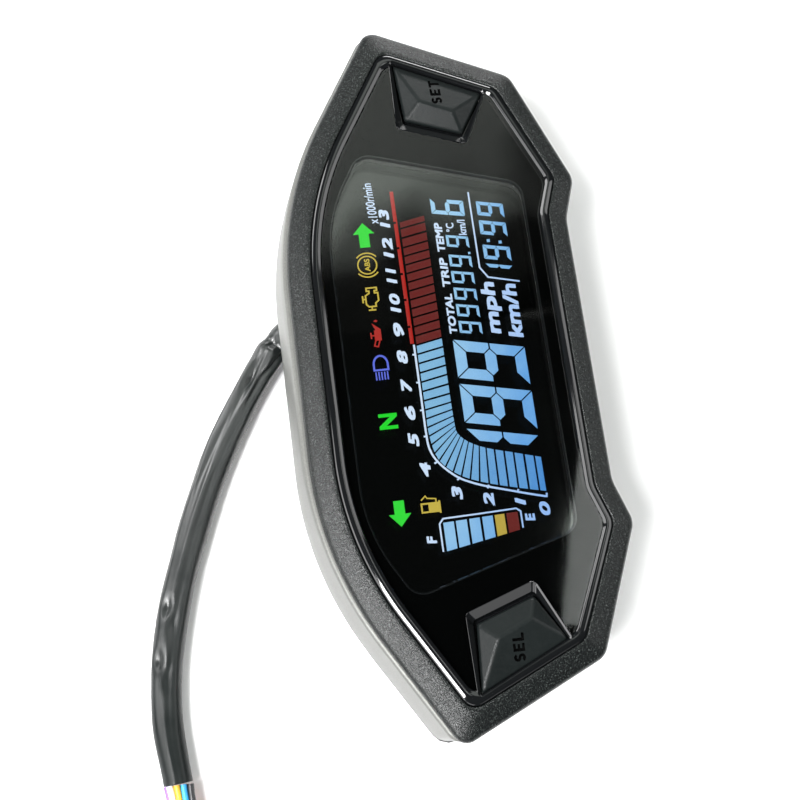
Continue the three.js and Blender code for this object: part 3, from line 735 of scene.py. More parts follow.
def legend_cutter(words, side, material):
    """Bold letters that follow the slope of the cap's large face, cut into it. The cutter's near-black
    material goes onto the cut faces as painted shade inside the letters.
    """
    length = LETTER_PITCH * len(words) - LETTER_GAP
    mesh = bmesh.new()
    for i, letter in enumerate(words):
        verts = []
        for u, v in letter_outline(letter):
            along_word = u + LETTER_PITCH * i - length / 2
            x = side * LEGEND_PLACE[0] + along_word * LEGEND_LENGTH[words] / length
            y = LEGEND_PLACE[1] + (v - 0.5) * LEGEND_HEIGHT
            verts.append(mesh.verts.new(at(x, y, face_height(x, y) - LEGEND_DEPTH)))
        mesh.faces.new(verts)
    extrude_up(mesh, 1.6)
    bmesh.ops.triangulate(mesh, faces=mesh.faces[:])
    return solid_object("legend", mesh, material)


def make_button(name, side, materials):
    body = f"{name}_button_body"
    cap = cap_mesh(f"{name}_button_cap", side, materials["button"])
    add_bevel(cap, 1.1, 6, 8)
    settle(cap)
    # The letters' cut faces take the cutter's near-black material: painted shade inside the engraved letters.
    carve(cap, [legend_cutter(name.upper(), side, materials["engraved_painted_shade"])])
    cap.data.shade_smooth()
    cap.data.set_sharp_from_angle(angle=radians(30))
    even = cap.modifiers.new("even", "WEIGHTED_NORMAL")
    even.keep_sharp = True
    settle(cap)
    finish_piece(cap, body, "button_plastic", f"{name}_button")
    stem = button_stem(name, side, materials["button"])
    finish_piece(stem, body, "button_plastic", f"{name}_button")


def button_stem(name, side, material):
    """What carries the cap: a stem, a stop collar and the post that works the switch."""
    corners = [(x, y, 0.8, 3) for x, y in cap_corners(side)]
    sections = [(-3.4, CAP_BOTTOM + 0.4), (-3.4, COLLAR_TOP), (-1.9, COLLAR_TOP), (-1.9, COLLAR_BOTTOM)]
    loops = [level(rounded_points(offset_corners(corners, distance)), z) for distance, z in sections]
    count = len(loops[0])
    centre = at(side * POST_PLACE[0], POST_PLACE[1], 0)
    turns = [atan2(p.y - centre.y, p.x - centre.x) for p in loops[0]]
    for radius, z in ((2, COLLAR_BOTTOM), (2, POST_BOTTOM + 0.2), (1.8, POST_BOTTOM)):
        reach = radius * MM
        loops.append([Vector((centre.x + reach * cos(a), centre.y + reach * sin(a), z * MM)) for a in turns])
    points = flat_loops(loops)
    faces = join_loops(loops, False)
    faces += [tuple(range(count)), tuple(range(len(points) - count, len(points)))]
    return mesh_piece(f"{name}_button_stem", points, faces, material)


# ---------------------------------------------------------------- display graphics
def letter_shapes(words, slant):
    """Corner points and faces of words in the built-in font, at the font's own scale."""
    curve = bpy.data.curves.new("words", "FONT")
    curve.body = words
    curve.shear = slant
    curve.resolution_u = 3
    holder = add_object("words", curve)
    bpy.context.view_layer.update()
    mesh = holder.evaluated_get(bpy.context.evaluated_depsgraph_get()).to_mesh()
    corners = [v.co.copy() for v in mesh.vertices]
    polygons = [tuple(p.vertices) for p in mesh.polygons]
    bpy.data.objects.remove(holder)
    bpy.data.curves.remove(curve)
    return corners, polygons


class Ink:
    """Flat shapes in display millimetres, gathered by colour into one mesh each."""

    def __init__(self):
        self.points = {}
        self.faces = {}

    def polygon(self, colour, corners):
        points = self.points.setdefault(colour, [])
        faces = self.faces.setdefault(colour, [])
        start = len(points)
        points += [at(x, y, INK) for x, y in corners]
        faces.append(tuple(range(start, len(points))))

    def stroke(self, colour, line, width, closed=False):
        """A line of even width, mitred at its corners."""
        count = len(line)
        left, right = [], []
        for i, (x, y) in enumerate(line):
            here = Vector((x, y))
            before = Vector(line[i - 1]) if i or closed else None
            after = Vector(line[(i + 1) % count]) if i + 1 < count or closed else None
            into = (here - before).normalized() if before else (after - here).normalized()
            out = (after - here).normalized() if after else into
            normal = Vector((-(into.y + out.y), into.x + out.x)).normalized()
            reach = width / 2 / max(0.4, normal.dot(Vector((-into.y, into.x))))
            left.append(here + normal * reach)
            right.append(here - normal * reach)
        for i in range(count if closed else count - 1):
            j = (i + 1) % count
            self.polygon(colour, [left[i], left[j], right[j], right[i]])

    def rectangle(self, colour, x0, y0, x1, y1):
        self.polygon(colour, [(x0, y0), (x1, y0), (x1, y1), (x0, y1)])

    def text(self, colour, words, x, y, height, width, bold, slant=0.0, rise=0.0):
        """Words centred on (x, y). Copies moved a little to all sides make the letters bolder."""
        corners, polygons = letter_shapes(words, slant)
        low = Vector((min(c.x for c in corners), min(c.y for c in corners)))
        high = Vector((max(c.x for c in corners), max(c.y for c in corners)))
        middle = (low + high) / 2
        scale_x = (width - 2 * bold) / (high.x - low.x)
        scale_y = (height - 2 * bold) / (high.y - low.y)
        points = self.points.setdefault(colour, [])
        faces = self.faces.setdefault(colour, [])
        for move_x, move_y in ((0, 0), (bold, bold), (-bold, bold), (bold, -bold), (-bold, -bold)):
            start = len(points)
            for c in corners:
                across = (c.x - middle.x) * scale_x + move_x
                up = (c.y - middle.y) * scale_y + move_y + rise * across
                points.append(at(x + across, y + up, INK))
            faces += [tuple(start + i for i in polygon) for polygon in polygons]

    def make(self, materials):
        for colour, points in self.points.items():
            piece = mesh_piece(f"lcd_{colour}", points, self.faces[colour], materials[colour])
            for polygon in piece.data.polygons:
                polygon.use_smooth = False
            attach(piece, BODY)


SEGMENTS = {
    "0": "abcdef", "1": "bc", "2": "abged", "3": "abgcd", "4": "fgbc", "5": "afgcd",
    "6": "afgedc", "7": "abc", "8": "abcdefg", "9": "abcdfg",
}


def segment_shapes(width, height, thick):
    """The seven bars of an upright digit, mitred at the corners and pointed in the middle."""
    gap = thick * 0.07
    half = height / 2
    top = [
        (gap, height), (width - gap, height),
        (width - thick - gap, height - thick), (thick + gap, height - thick),
    ]
    upper_left = [
        (0, height - gap), (thick, height - thick - gap), (thick, half + thick / 2 + gap),
        (thick / 2, half + gap), (0, half + gap),
    ]
    middle = [
        (thick / 2 + gap, half), (thick + gap, half + thick / 2),
        (width - thick - gap, half + thick / 2), (width - thick / 2 - gap, half),
        (width - thick - gap, half - thick / 2), (thick + gap, half - thick / 2),
    ]

    def flipped(shape):
        return [(x, height - y) for x, y in shape]

    def turned(shape):
        return [(width - x, y) for x, y in shape]

    return {
        "a": top, "b": turned(upper_left), "c": turned(flipped(upper_left)), "d": flipped(top),
        "e": flipped(upper_left), "f": upper_left, "g": middle,
    }


def seven_segment(ink, colour, digit, left, bottom, width, height, thick, slant):
    shapes = segment_shapes(width, height, thick)
    for segment in SEGMENTS[digit]:
        ink.polygon(colour, [(left + x + slant * y, bottom + y) for x, y in shapes[segment]])


def arc(x, y, radius, start, end, steps=14):
    angles = [radians(start + (end - start) * k / steps) for k in range(steps + 1)]
    return [(x + radius * cos(a), y + radius * sin(a)) for a in angles]


def between(a, b, c, d, t):
    """A Catmull-Rom curve's point between b and c."""
    return 0.5 * (
        2 * b + (c - a) * t + (2 * a - 5 * b + 4 * c - d) * t * t + (3 * b - a - 3 * c + d) * t ** 3)


def smooth_line(points):
    """A smooth curve through flat points."""
    steps = 8
    line = []
    for i in range(len(points) - 1):
        a, b = Vector(points[max(i - 1, 0)]), Vector(points[i])
        c, d = Vector(points[i + 1]), Vector(points[min(i + 2, len(points) - 1)])
        line += [between(a, b, c, d, k / steps) for k in range(steps)]
    line.append(Vector(points[-1]))
    return line


# Ends of the rev counter's bars at 0, 1, 2 ... thousand: (outer end, inner end).
REV_BARS = [
    ((-34.5, -29.7), (-25.9, -29.7)), ((-32.9, -22.9), (-24.0, -23.0)), ((-31.0, -15.9), (-22.1, -16.4)),
    ((-28.4, -9.4), (-20.1, -12.3)), ((-24.0, -4.5), (-17.6, -9.9)), ((-17.6, -2.9), (-14.6, -9.5)),
    ((-10.9, -2.85), (-9.6, -9.4)), ((-3.7, -2.85), (-2.4, -9.4)), ((3.6, -2.85), (4.9, -9.4)),
    ((10.9, -2.9), (12.2, -9.4)), ((18.1, -2.9), (19.4, -9.4)), ((25.2, -2.9), (26.5, -9.4)),
    ((32.3, -2.9), (33.6, -9.4)), ((39.4, -2.9), (40.7, -9.4)),
]
BARS_PER_THOUSAND = 3
RED_FROM = 25
REV_LINE = [
    (6.2, -2.2), (-6, -2.2), (-18, -2.2), (-21.5, -2.7), (-24, -3.9), (-26.5, -6), (-28.8, -8.7),
    (-30.3, -11.6), (-31.6, -15), (-33.2, -20.3), (-34.6, -25), (-35.8, -29.4),
]
REV_TICKS = [
    (-36, -29.4), (-34, -22.5), (-32.2, -15.3), (-29.3, -8.2), (-24.6, -3.2), (-17.6, -1.5),
    (-10.9, -1.5), (-3.7, -1.5), (3.6, -1.5),
]
RED_LINE_NOTCHES = [11, 18.2, 25.2, 32.3, 39.3]
RED_LINE_START = 6.5
RED_LINE_END = 48


def along(line, fraction):
    """The point that far along a line of points, by length."""
    lengths = [(Vector(b) - Vector(a)).length for a, b in zip(line, line[1:])]
    target = fraction * sum(lengths)
    for (a, b), length in zip(zip(line, line[1:]), lengths):
        if target <= length:
            return Vector(a).lerp(Vector(b), target / length)
        target -= length
    return Vector(line[-1])


def bar_end(value, side):
    """Where a line across the rev band ends, for a rev value in thousands."""
    i = min(int(value), len(REV_BARS) - 2)
    last = len(REV_BARS) - 1
    a, b, c, d = (Vector(REV_BARS[max(0, min(last, k))][side]) for k in (i - 1, i, i + 1, i + 2))
    return between(a, b, c, d, value - i)


def draw_rev_band(ink):
    count = (len(REV_BARS) - 1) * BARS_PER_THOUSAND
    for i in range(count):
        start = (i + 0.1) / BARS_PER_THOUSAND
        end = (i + 0.9) / BARS_PER_THOUSAND
        colour = "red_bar" if i >= RED_FROM else "blue_bar"
        ink.polygon(colour, [bar_end(start, 0), bar_end(end, 0), bar_end(end, 1), bar_end(start, 1)])
    ink.stroke("white", smooth_line(REV_LINE), 0.5)
    for value, (x, y) in enumerate(REV_TICKS):
        foot = bar_end(value, 0)
        ink.stroke("white", [foot.lerp(Vector((x, y)), 0.3), (x, y)], 0.45)
    notches = [x + side for x in RED_LINE_NOTCHES for side in (-0.3, 0.3)]
    edges = [RED_LINE_START, *notches, RED_LINE_END]
    for start, end in zip(edges[::2], edges[1::2]):
        ink.rectangle("red", start, -2.3, end, -1.35)
    ink.rectangle("red", RED_LINE_START, -2.3, RED_LINE_END, -1.95)


# Centre and width of the rev counter's numbers, 0 to 13.
NUMBER_HEIGHT = 2.6
NUMBER_PLACES = [
    (-38.7, -28.5, 3.5), (-36.3, -22.8, 2.0), (-35, -15.2, 3.5), (-32.5, -7.7, 3.5),
    (-25.9, -0.8, 3.7), (-18.1, 1.1, 3.6), (-11.3, 1.1, 3.6), (-4.1, 1.1, 3.5), (3.3, 1.1, 3.6),
    (10.6, 1.1, 3.6), (17.6, 1.1, 5.2), (25, 1.1, 4.3), (32.6, 1, 5.6), (40.7, 0.9, 5.2),
]


def draw_numbers(ink):
    for value, (x, y, width) in enumerate(NUMBER_PLACES):
        ink.text("white", str(value), x, y, NUMBER_HEIGHT, width, slant=0.2, bold=0.16)
    ink.text("white", "x1000r/min", 45.2, 4.0, 2.4, width=11.4, slant=0.1, bold=0.03, rise=0.06)


def draw_arrow(ink, tip, head, tail, y):
    """Turn arrow pointing away from the middle of the display."""
    ink.polygon("green", [(tip, y), (head, y + 2.75), (head, y - 2.75)])
    ink.polygon("green", [(head, y + 1.3), (tail, y + 1.3), (tail, y - 1.3), (head, y - 1.3)])


def draw_high_beam(ink):
    dome = [(2.0 + (x - 2.0) * 1.25, y) for x, y in arc(2.0, 6.7, 1.75, -90, 90, 12)]
    ink.stroke("blue", [(0.5, 8.45), *reversed(dome), (0.5, 4.95)], 0.5, closed=True)
    for k in range(5):
        ink.rectangle("blue", -2.1, 5.1 + k * 0.72, 0, 5.45 + k * 0.72)


def draw_oil_can(ink):
    body = [(8.2, 5.6), (11.2, 5.6), (12.9, 7.7), (11.0, 6.9), (10.9, 7.3), (8.2, 7.3)]
    ink.polygon("red", body)
    ink.stroke("red", [(9.6, 7.3), (9.6, 8.1)], 0.35)
    ink.stroke("red", [(8.8, 8.15), (10.4, 8.15)], 0.35)
    ink.stroke("red", [(8.3, 7.1), (6.9, 7.6), (6.6, 6.7), (8.2, 6.1)], 0.35)
    ink.polygon("red", [(13.4, 7.2), (13.75, 6.5), (13.4, 6.1), (13.05, 6.5)])


def draw_engine(ink):
    outline = [
        (17.3, 5.9), (18.2, 5.9), (18.8, 5.1), (20.9, 5.1), (20.9, 5.9), (21.5, 5.9), (21.5, 5.3),
        (22.3, 5.3), (22.3, 7.9), (21.5, 7.9), (21.5, 7.3), (20.9, 7.3), (20.3, 8.3), (18.0, 8.3),
        (17.3, 7.7),
    ]
    ink.stroke("yellow", outline, 0.4, closed=True)
    ink.rectangle("yellow", 18.4, 8.85, 20.3, 9.25)
    ink.rectangle("yellow", 19.15, 8.4, 19.55, 8.9)
    ink.rectangle("yellow", 16.2, 6.0, 16.6, 7.9)
    ink.rectangle("yellow", 16.5, 6.8, 17.3, 7.15)


def draw_abs(ink):
    x, y = 28.5, 6.8
    ink.stroke("yellow", arc(x, y, 2.4, 0, 345, 24), 0.36, closed=True)
    ink.stroke("yellow", arc(x, y, 3.25, -50, 50), 0.36)
    ink.stroke("yellow", arc(x, y, 3.25, 130, 230), 0.36)
    ink.text("yellow", "ABS", x, y, 1.4, width=3.4, bold=0.05)


def draw_warning_row(ink):
    draw_arrow(ink, -39.2, -36.1, -32.8, 6.8)
    draw_arrow(ink, 40, 37, 33.3, 6.7)
    ink.text("green", "N", -12.8, 6.7, 4.6, width=4.0, bold=0.18)
    draw_high_beam(ink)
    draw_oil_can(ink)
    draw_engine(ink)
    draw_abs(ink)


# Fuel gauge: upper and lower edge of each bar.
FUEL_BARS = [
    ("pale", -3.3, -5.9), ("pale", -6.4, -9.1), ("pale", -9.7, -12.3), ("pale", -12.9, -15.5),
    ("yellow_bar", -16.0, -18.4), ("red_bar", -18.9, -21.7),
]


def draw_fuel_gauge(ink):
    bracket = [
        (-46.4, -2.4), (-39.6, -2.4), (-38.4, -3.4), (-38.2, -12), (-37.9, -21.5), (-38.7, -22.5),
        (-42.8, -22.5),
    ]
    ink.stroke("white", bracket, 0.4)

    def left_at(y):
        return -46.4 - (y + 3.3) * 0.174

    def right_at(y):
        return -39.4 - (y + 3.3) * 0.035

    for colour, top, bottom in FUEL_BARS:
        ink.polygon(colour, [
            (left_at(top), top), (right_at(top), top), (right_at(bottom), bottom), (left_at(bottom), bottom)])
    ink.text("white", "F", -43.2, 0, 2.4, width=1.9, slant=0.1, bold=0.15)
    ink.text("white", "E", -40.4, -24.6, 2.4, width=1.9, slant=0.1, bold=0.15)
    draw_fuel_pump(ink)


def draw_fuel_pump(ink):
    ink.rectangle("yellow", -36.9, -3.3, -33.8, -2.85)
    ink.rectangle("yellow", -36.6, -2.9, -34.1, -0.3)
    ink.stroke("yellow", [(-36.4, -0.4), (-36.4, 1.35), (-34.3, 1.35), (-34.3, -0.4)], 0.42)
    ink.stroke("yellow", [(-34.1, -2.3), (-33.3, -2.3), (-33.0, -0.2), (-32.4, 0.2), (-33.4, 1.3)], 0.32)


SPEED_DIGITS = [("1", -30.5), ("9", -18.9), ("9", -7.3)]
CLOCK_DIGITS = [("1", 20.7), ("9", 25.9), ("9", 32.7), ("9", 38.0)]
TRIP_DIGITS = [7.1, 11.6, 16.1, 20.6, 25.1, 30.5]


def draw_speed(ink):
    for digit, left in SPEED_DIGITS:
        seven_segment(ink, "pale", digit, left, -29.9, 10.05, 17.8, 2.8, 0.21)
    ink.text("white", "mph", 13.9, -23.4, 4.7, width=14.1, slant=0.15, bold=0.22)
    ink.text("white", "km/h", 12.6, -28.3, 3.8, width=14.6, slant=0.15, bold=0.2)


def draw_trip(ink):
    for words, start, end in (("TOTAL", 8.1, 18.7), ("TRIP", 20.7, 28.6), ("TEMP", 30.3, 38.3)):
        ink.text("white", words, (start + end) / 2, -12.6, 2.0, width=end - start, slant=0.15, bold=0.11)
    for left in TRIP_DIGITS:
        seven_segment(ink, "pale", "9", left, -19.9, 3.2, 5.7, 0.68, 0.18)
    ink.rectangle("pale", 28.9, -19.9, 29.5, -19.3)
    ink.text("white", "°C", 36.7, -15.6, 2.1, width=2.4, bold=0.05)
    ink.text("white", "km/l", 36.4, -18.7, 2.1, width=4.4, slant=0.1, bold=0.05)
    seven_segment(ink, "pale", "6", 39.4, -20, 4.3, 8.5, 1.1, 0.18)


def draw_clock(ink):
    ink.stroke("white", [(46, -21.7), (25, -21.7), (22.2, -23.5), (20.3, -31.4)], 0.42)
    for digit, left in CLOCK_DIGITS:
        seven_segment(ink, "pale", digit, left, -30.2, 3.9, 6.9, 0.95, 0.2)
    ink.rectangle("pale", 31.7, -25.4, 32.5, -24.6)
    ink.rectangle("pale", 31.0, -28.4, 31.8, -27.6)


def make_display():
    ink = Ink()
    for draw in (
            draw_rev_band, draw_numbers, draw_warning_row, draw_fuel_gauge, draw_speed, draw_trip,
            draw_clock):
        draw(ink)
    ink.make({
        "white": lit("ink_white", (0.26, 0.46, 0.88), (0.62, 0.75, 0.95), 1.25),
        "pale": lit("ink_pale_blue", (0.06, 0.29, 0.74), (0.34, 0.61, 0.86), 1.2),
        "blue_bar": lit("ink_blue_bar", (0.05, 0.26, 0.70), (0.24, 0.52, 0.80), 1.1),
        "red_bar": lit("ink_red_bar", (0.22, 0.007, 0.004), (0.22, 0.007, 0.004), 0.7),
        "yellow_bar": lit("ink_yellow_bar", (0.50, 0.36, 0.05), (0.58, 0.43, 0.06), 1.1),
        "red": lit("ink_red", (0.42, 0.018, 0.012), (0.46, 0.018, 0.012), 1.1),
        "green": lit("ink_green", (0.02, 0.62, 0.03), (0.02, 0.70, 0.03), 1.2),
        "yellow": lit("ink_yellow", (0.54, 0.41, 0.05), (0.62, 0.47, 0.06), 1.1),
        "blue": lit("ink_blue", (0.06, 0.09, 0.58), (0.10, 0.14, 0.70), 1.3),
    })


# ---------------------------------------------------------------- harness
EXIT_X = 20
EXIT_Z = 6
GROMMET_END = 22.4
SLEEVE_RADIUS = 3.8
SLEEVE_SIDES = 72
WIRE_RADIUS = 0.8
CONNECTOR_BACK = -154
CONNECTOR_Y = 60
CONNECTOR_HEIGHT = 9
SLEEVE_ROUTE = [
    (EXIT_X, GROMMET_END + 0.3, EXIT_Z), (19.9, 24.6, 6), (19.3, 27.6, 5.8), (17.9, 30.5, 5.4),
    (15.2, 33.3, 5), (10.4, 36.8, 4.5), (0.9, 42.8, 4), (-13.1, 50.6, 3.9), (-32, 58.5, 3.9),
    (-54.6, 65.4, 3.9), (-75, 67.9, 3.9), (-91.4, 66.6, 3.9),
]
WIRE_PITCH = 1.7
WIRE_NAMES = ["red", "orange", "green", "purple", "black", "blue", "yellow", "white"]


def catmull(points, spacing):
    """Evenly spaced points on a smooth curve through the given ones, in millimetres."""
    vectors = [Vector(p) for p in points]
    first = vectors[0] * 2 - vectors[1]
    last = vectors[-1] * 2 - vectors[-2]
    padded = [first] + vectors + [last]
    dense = []
    for i in range(1, len(padded) - 2):
        dense += [between(*padded[i - 1:i + 3], k / 40) for k in range(40)]
    dense.append(vectors[-1])
    total = sum((b - a).length for a, b in zip(dense, dense[1:]))
    steps = max(4, round(total / spacing))
    return [along(dense, k / steps) for k in range(steps + 1)], total


def wire_route(index):
    column, row = index % 4, index // 4
    across, above = column - 1.5, row - 0.5
    x, y, z = SLEEVE_ROUTE[-1]
    x -= 0.3
    middle = CONNECTOR_HEIGHT / 2
    sway = 1.2 * sin(index * 2.1)
    start_y = y + (across - above / 2) * WIRE_PITCH
    start_z = z + above * WIRE_PITCH
    return [
        (x, start_y, start_z),
        (x - 6, start_y - 0.6, start_z),
        (x - 24, y - 3.2 + across * 4.2 + 0.3 * sway, z + above * 2.6),
        (x - 42, CONNECTOR_Y + 1.2 + across * 4.2 - 0.3 * sway, middle + above * 2.8),
        (CONNECTOR_BACK + 7, CONNECTOR_Y + across * 2.5, middle + above * 2.5),
        (CONNECTOR_BACK + 0.3, CONNECTOR_Y + across * 2.5, middle + above * 2.5),
    ]


def make_sleeve(materials):
    """The limp vinyl sleeve: a flattened, folded tube with an open end."""
    line, total = catmull(SLEEVE_ROUTE, 0.5)
    last = len(line) - 1
    step = total / last
    loops = []
    for k, point in enumerate(line):
        ahead = (line[min(k + 1, last)] - line[max(k - 1, 0)]).normalized()
        side = ahead.cross(Vector((0, 0, 1))).normalized()
        up = side.cross(ahead)
        turns = (2 * pi * i / SLEEVE_SIDES for i in range(SLEEVE_SIDES))
        loops.append([skin_point(point, side, up, k * step, turn, total) for turn in turns])
    for depth, share in ((0.15, 0.9), (0.5, 0.84), (6.0, 0.8)):
        source = loops[last - round(depth / step)]
        centre = sum(source, Vector()) / SLEEVE_SIDES
        loops.append([centre + (p - centre) * share for p in source])
    points = [at(*p) for p in flat_loops(loops)]
    faces = join_loops(loops, False)
    faces.append(tuple(range(SLEEVE_SIDES)))
    sleeve = mesh_piece("harness_sleeve_creased", points, faces, materials["sleeve"], 70)
    finish_piece(sleeve, BODY, "sleeve_vinyl", "harness_sleeve")
    route = [along(line, k / 30) for k in range(31)]


# The long fold: (distance from the exit, degrees round from the +Y side, depth).
FOLD_LINE = [
    (0, 168, 0.2), (9, 160, 0.6), (14, 140, 0.9), (20, 118, 0.9), (30, 112, 0.6), (50, 106, 0.35),
    (78, 104, 0.35), (96, 106, 0.3), (106, 100, 0.15), (124, 96, 0.2), (160, 96, 0.2),
]
# Smaller dents: (distance, degrees, depth, half length in mm, half width in degrees).
DENTS = [
    (9.5, 80, 1.7, 1.5, 80), (5.8, 60, -0.5, 1.6, 60), (15, 30, 0.5, 3, 28), (21, 76, 0.8, 2.2, 16),
    (84, 64, 1.0, 2.4, 20), (88.5, 96, 0.5, 3, 20), (97, 54, 1.0, 2.4, 20), (101, 92, 0.4, 3.5, 22),
]
# Flat panels pressed into the skin: (distance, degrees, share of the radius, half length).
PANELS = [(18, 76, 0.22, 8), (34, 66, 0.26, 16), (62, 60, 0.08, 20)]


def hump(x, centre, width):
    return exp(-((x - centre) / width) ** 2)


def fold_at(distance):
    """Heading and depth of the long fold."""
    for (a, *start), (b, *end) in zip(FOLD_LINE, FOLD_LINE[1:]):
        if distance <= b:
            t = (distance - a) / (b - a)
            t = t * t * (3 - 2 * t)
            heading, depth = (p + (q - p) * t for p, q in zip(start, end))
            return radians(heading), depth
    return radians(FOLD_LINE[-1][1]), FOLD_LINE[-1][2]


def apart(a, b):
    """Difference of two headings, between -pi and pi."""
    return (a - b + pi) % (2 * pi) - pi


def skin_point(point, side, up, distance, angle, total):
    """A point of the sleeve's skin: flattened, with one long fold, dents and slow swells."""
    loose = min(1, distance / 5)
    heading, fold = fold_at(distance)
    off = apart(angle, heading)
    depth = fold * (hump(off, 0, 0.22) - 0.2 * hump(off, 0.5, 0.3))
    for place, heading, dent, length, width in DENTS:
        across = apart(angle, radians(heading))
        depth += dent * hump(distance, place, length) * hump(across, 0, radians(width))
    swell = noise.noise(Vector((distance * 0.06, cos(angle) * 0.8, sin(angle) * 0.8)))
    depth -= 0.35 * swell
    for place, heading, share, length in PANELS:
        facing = max(0.3, cos(apart(angle, radians(heading))))
        depth += SLEEVE_RADIUS * max(0, 1 - (1 - share * hump(distance, place, length)) / facing)
    wide = SLEEVE_RADIUS * (1 + 0.05 * loose - 0.09 * hump(distance, total, 30))
    flat = 0.14 * loose
    high = SLEEVE_RADIUS * (1 - flat) if sin(angle) > 0 else SLEEVE_RADIUS
    x = cos(angle) * (wide - loose * depth)
    z = sin(angle) * (high - loose * depth)
    place = point + side * x + up * z
    place.z = max(place.z, 0.05 + 0.02 * cos(angle))
    return place


def wire_object(name, line, material):
    """A round wire along a line of points."""
    curve = bpy.data.curves.new(f"{name}_wire_curve", "CURVE")
    curve.dimensions = "3D"
    spline = curve.splines.new("POLY")
    spline.points.add(len(line) - 1)
    for spot, place in zip(spline.points, line):
        spot.co = (*at(*place), 1)
    spline.use_smooth = True
    curve.bevel_depth = WIRE_RADIUS * MM
    curve.bevel_resolution = 4
    curve.use_fill_caps = True
    wire = add_object(f"{name}_wire_run", curve)
    curve.materials.append(material)
    return wire


def make_wires(materials):
    for i, name in enumerate(WIRE_NAMES):
        line, total = catmull(wire_route(i), 2.0)
        wire = wire_object(name, line, materials[f"{name}_wire"])
        finish_piece(wire, BODY, f"{name}_wire", f"{name}_wire")


# ---------------------------------------------------------------- CAD nodes that stay
# The material and the bevel of each CAD node that stays, by its name or by a word in its name.
NODE_LOOKS = {
    "rear_cover": ("rear", 0.3), "lcd_frame": ("frame", 0), "lcd_glass": ("lcd", 0),
    "cover_gasket": ("rubber", 0), "lens_gasket": ("rubber", 0), "light_guide": ("white", 0),
    "main_pcb": ("board", 0), "cable_grommet": ("grey_rubber", 0.25),
    "cable_clamp": ("rear", 0.2), "board_socket": ("white", 0.15), "board_plug": ("white", 0.15),
    "inner_cable": ("sleeve", 0), "connector_housing": ("connector", 0.35),
    "connector_latch": ("connector", 0.2), "vent_membrane": ("white", 0.1),
    "clock_crystal": ("tin", 0.3), "supply_capacitor": ("chip", 0.3),
}
WORD_LOOKS = {
    "contact_strip": ("grey_rubber", 0), "return_pad": ("grey_rubber", 0.1),
    "switch_body": ("tin", 0.15), "plunger": ("chip", 0.15), "chip": ("chip", 0.12),
    "regulator": ("chip", 0.15), "led": ("white", 0.12), "screw": ("steel", 0),
    "insert": ("brass", 0),
}


def look_of(name):
    by_word = (look for word, look in WORD_LOOKS.items() if word in name)
    return NODE_LOOKS.get(name) or next(by_word, None)


def dress_nodes(materials):
    for name, node in frame["nodes"].items():
        look = look_of(name)
        if not look:
            continue
        key, width = look
        node.data.materials.clear()
        node.data.materials.append(materials[key])
        node.data.shade_smooth()
        node.data.set_sharp_from_angle(angle=radians(32))
        if width:
            add_bevel(node, width, 2, 40)


# ---------------------------------------------------------------- studio
def make_floor():
    size, depth = 3.0, -0.0003
    mesh = bpy.data.meshes.new("table")
    mesh.from_pydata(
        [(-size, -size, depth), (size, -size, depth), (size, size, depth), (-size, size, depth)],
        [], [(0, 1, 2, 3)])
    mesh.materials.append(floor_material())
    add_object("table", mesh)


UNLIT_GROUP = "clear_panels"


def group_clear_panels():
    """The lens and the display mirror only the cards: a lamp in them would hide the digits."""
    group = bpy.data.collections.new(UNLIT_GROUP)
    for name in ("lens_panel_clear", "display_mask_sheet"):
        group.objects.link(bpy.data.objects[name])
    group.objects.link(frame["nodes"]["lcd_glass"])
    for item in group.collection_objects:
        item.light_linking.link_state = "EXCLUDE"


def make_light(name, place, size, power):
    """A soft box aimed at the origin."""
    data = bpy.data.lights.new(name, "AREA")
    data.shape = "RECTANGLE"
    data.size, data.size_y = size
    data.energy = power
    light = add_object(name, data)
    light.location = place
    light.rotation_euler = (-Vector(place)).to_track_quat("-Z", "Y").to_euler()
    light.light_linking.receiver_collection = bpy.data.collections[UNLIT_GROUP]


def card_material():
    """A cloudy glow that fades out and comes back along a slanting line."""
    finish = Finish("card")
    slant = finish.add("VectorMath", {0: finish.place(), 1: (1, 0.3, 0)}, operation="DOT_PRODUCT")
    cloud = finish.multiply_add(finish.noise(5, 2), 0.35, slant["Value"])
    tone = finish.ramp(cloud, [
        (0.0, (0.30,) * 3), (0.05, (0.80, 0.85, 0.82)), (0.38, (0.72, 0.74, 0.72)), (0.43, (0.0,) * 3),
        (0.53, (0.01,) * 3), (0.6, (0.22, 0.235, 0.22)), (0.8, (0.30, 0.32, 0.30))])
    return finish.own_surface(finish.add("Emission", {"Color": tone, "Strength": 6.0})["Emission"])


def make_card():
    """Dim cards high above, which the lens mirrors: over the far end and along the right-hand side."""
    high = [(0.33, -0.75, 1.0), (1.2, -0.75, 1.0), (1.2, 0.35, 1.0), (0.33, 0.35, 1.0)]
    low = [(-1.2, -1.0, 0.6), (-1.2, -0.4, 0.6), (-1.2, -0.4, 1.1), (-1.2, -1.0, 1.1)]
    strip = [(0.02, -0.5), (0.27, -0.5), (0.26, -0.279), (0.18, -0.262), (0.10, -0.239), (0.02, -0.219)]
    corners = high + low + [(x, y, 1.0) for x, y in strip]
    mesh = bpy.data.meshes.new("card")
    mesh.from_pydata(corners, [], [(0, 1, 2, 3), (4, 5, 6, 7), (8, 9, 10, 11, 12, 13)])
    mesh.materials.append(card_material())
    add_object("card", mesh)


# Name, place, size and power of each soft box.
LIGHTS = [
    ("key", (-0.25, 0.95, 0.75), (1.1, 0.7), 16),
    ("near", (-0.9, 0.35, 0.65), (0.6, 0.6), 3.5),
    ("right", (0.1, -1.0, 0.8), (0.7, 0.5), 4),
    ("far", (1.3, -0.3, 0.42), (0.6, 0.25), 8),
    ("spark", (-0.29, 0.48, 1.0), (0.26, 0.26), 17),
    ("streak", (0.72, 0.76, 0.66), (0.4, 0.4), 4.5),
]


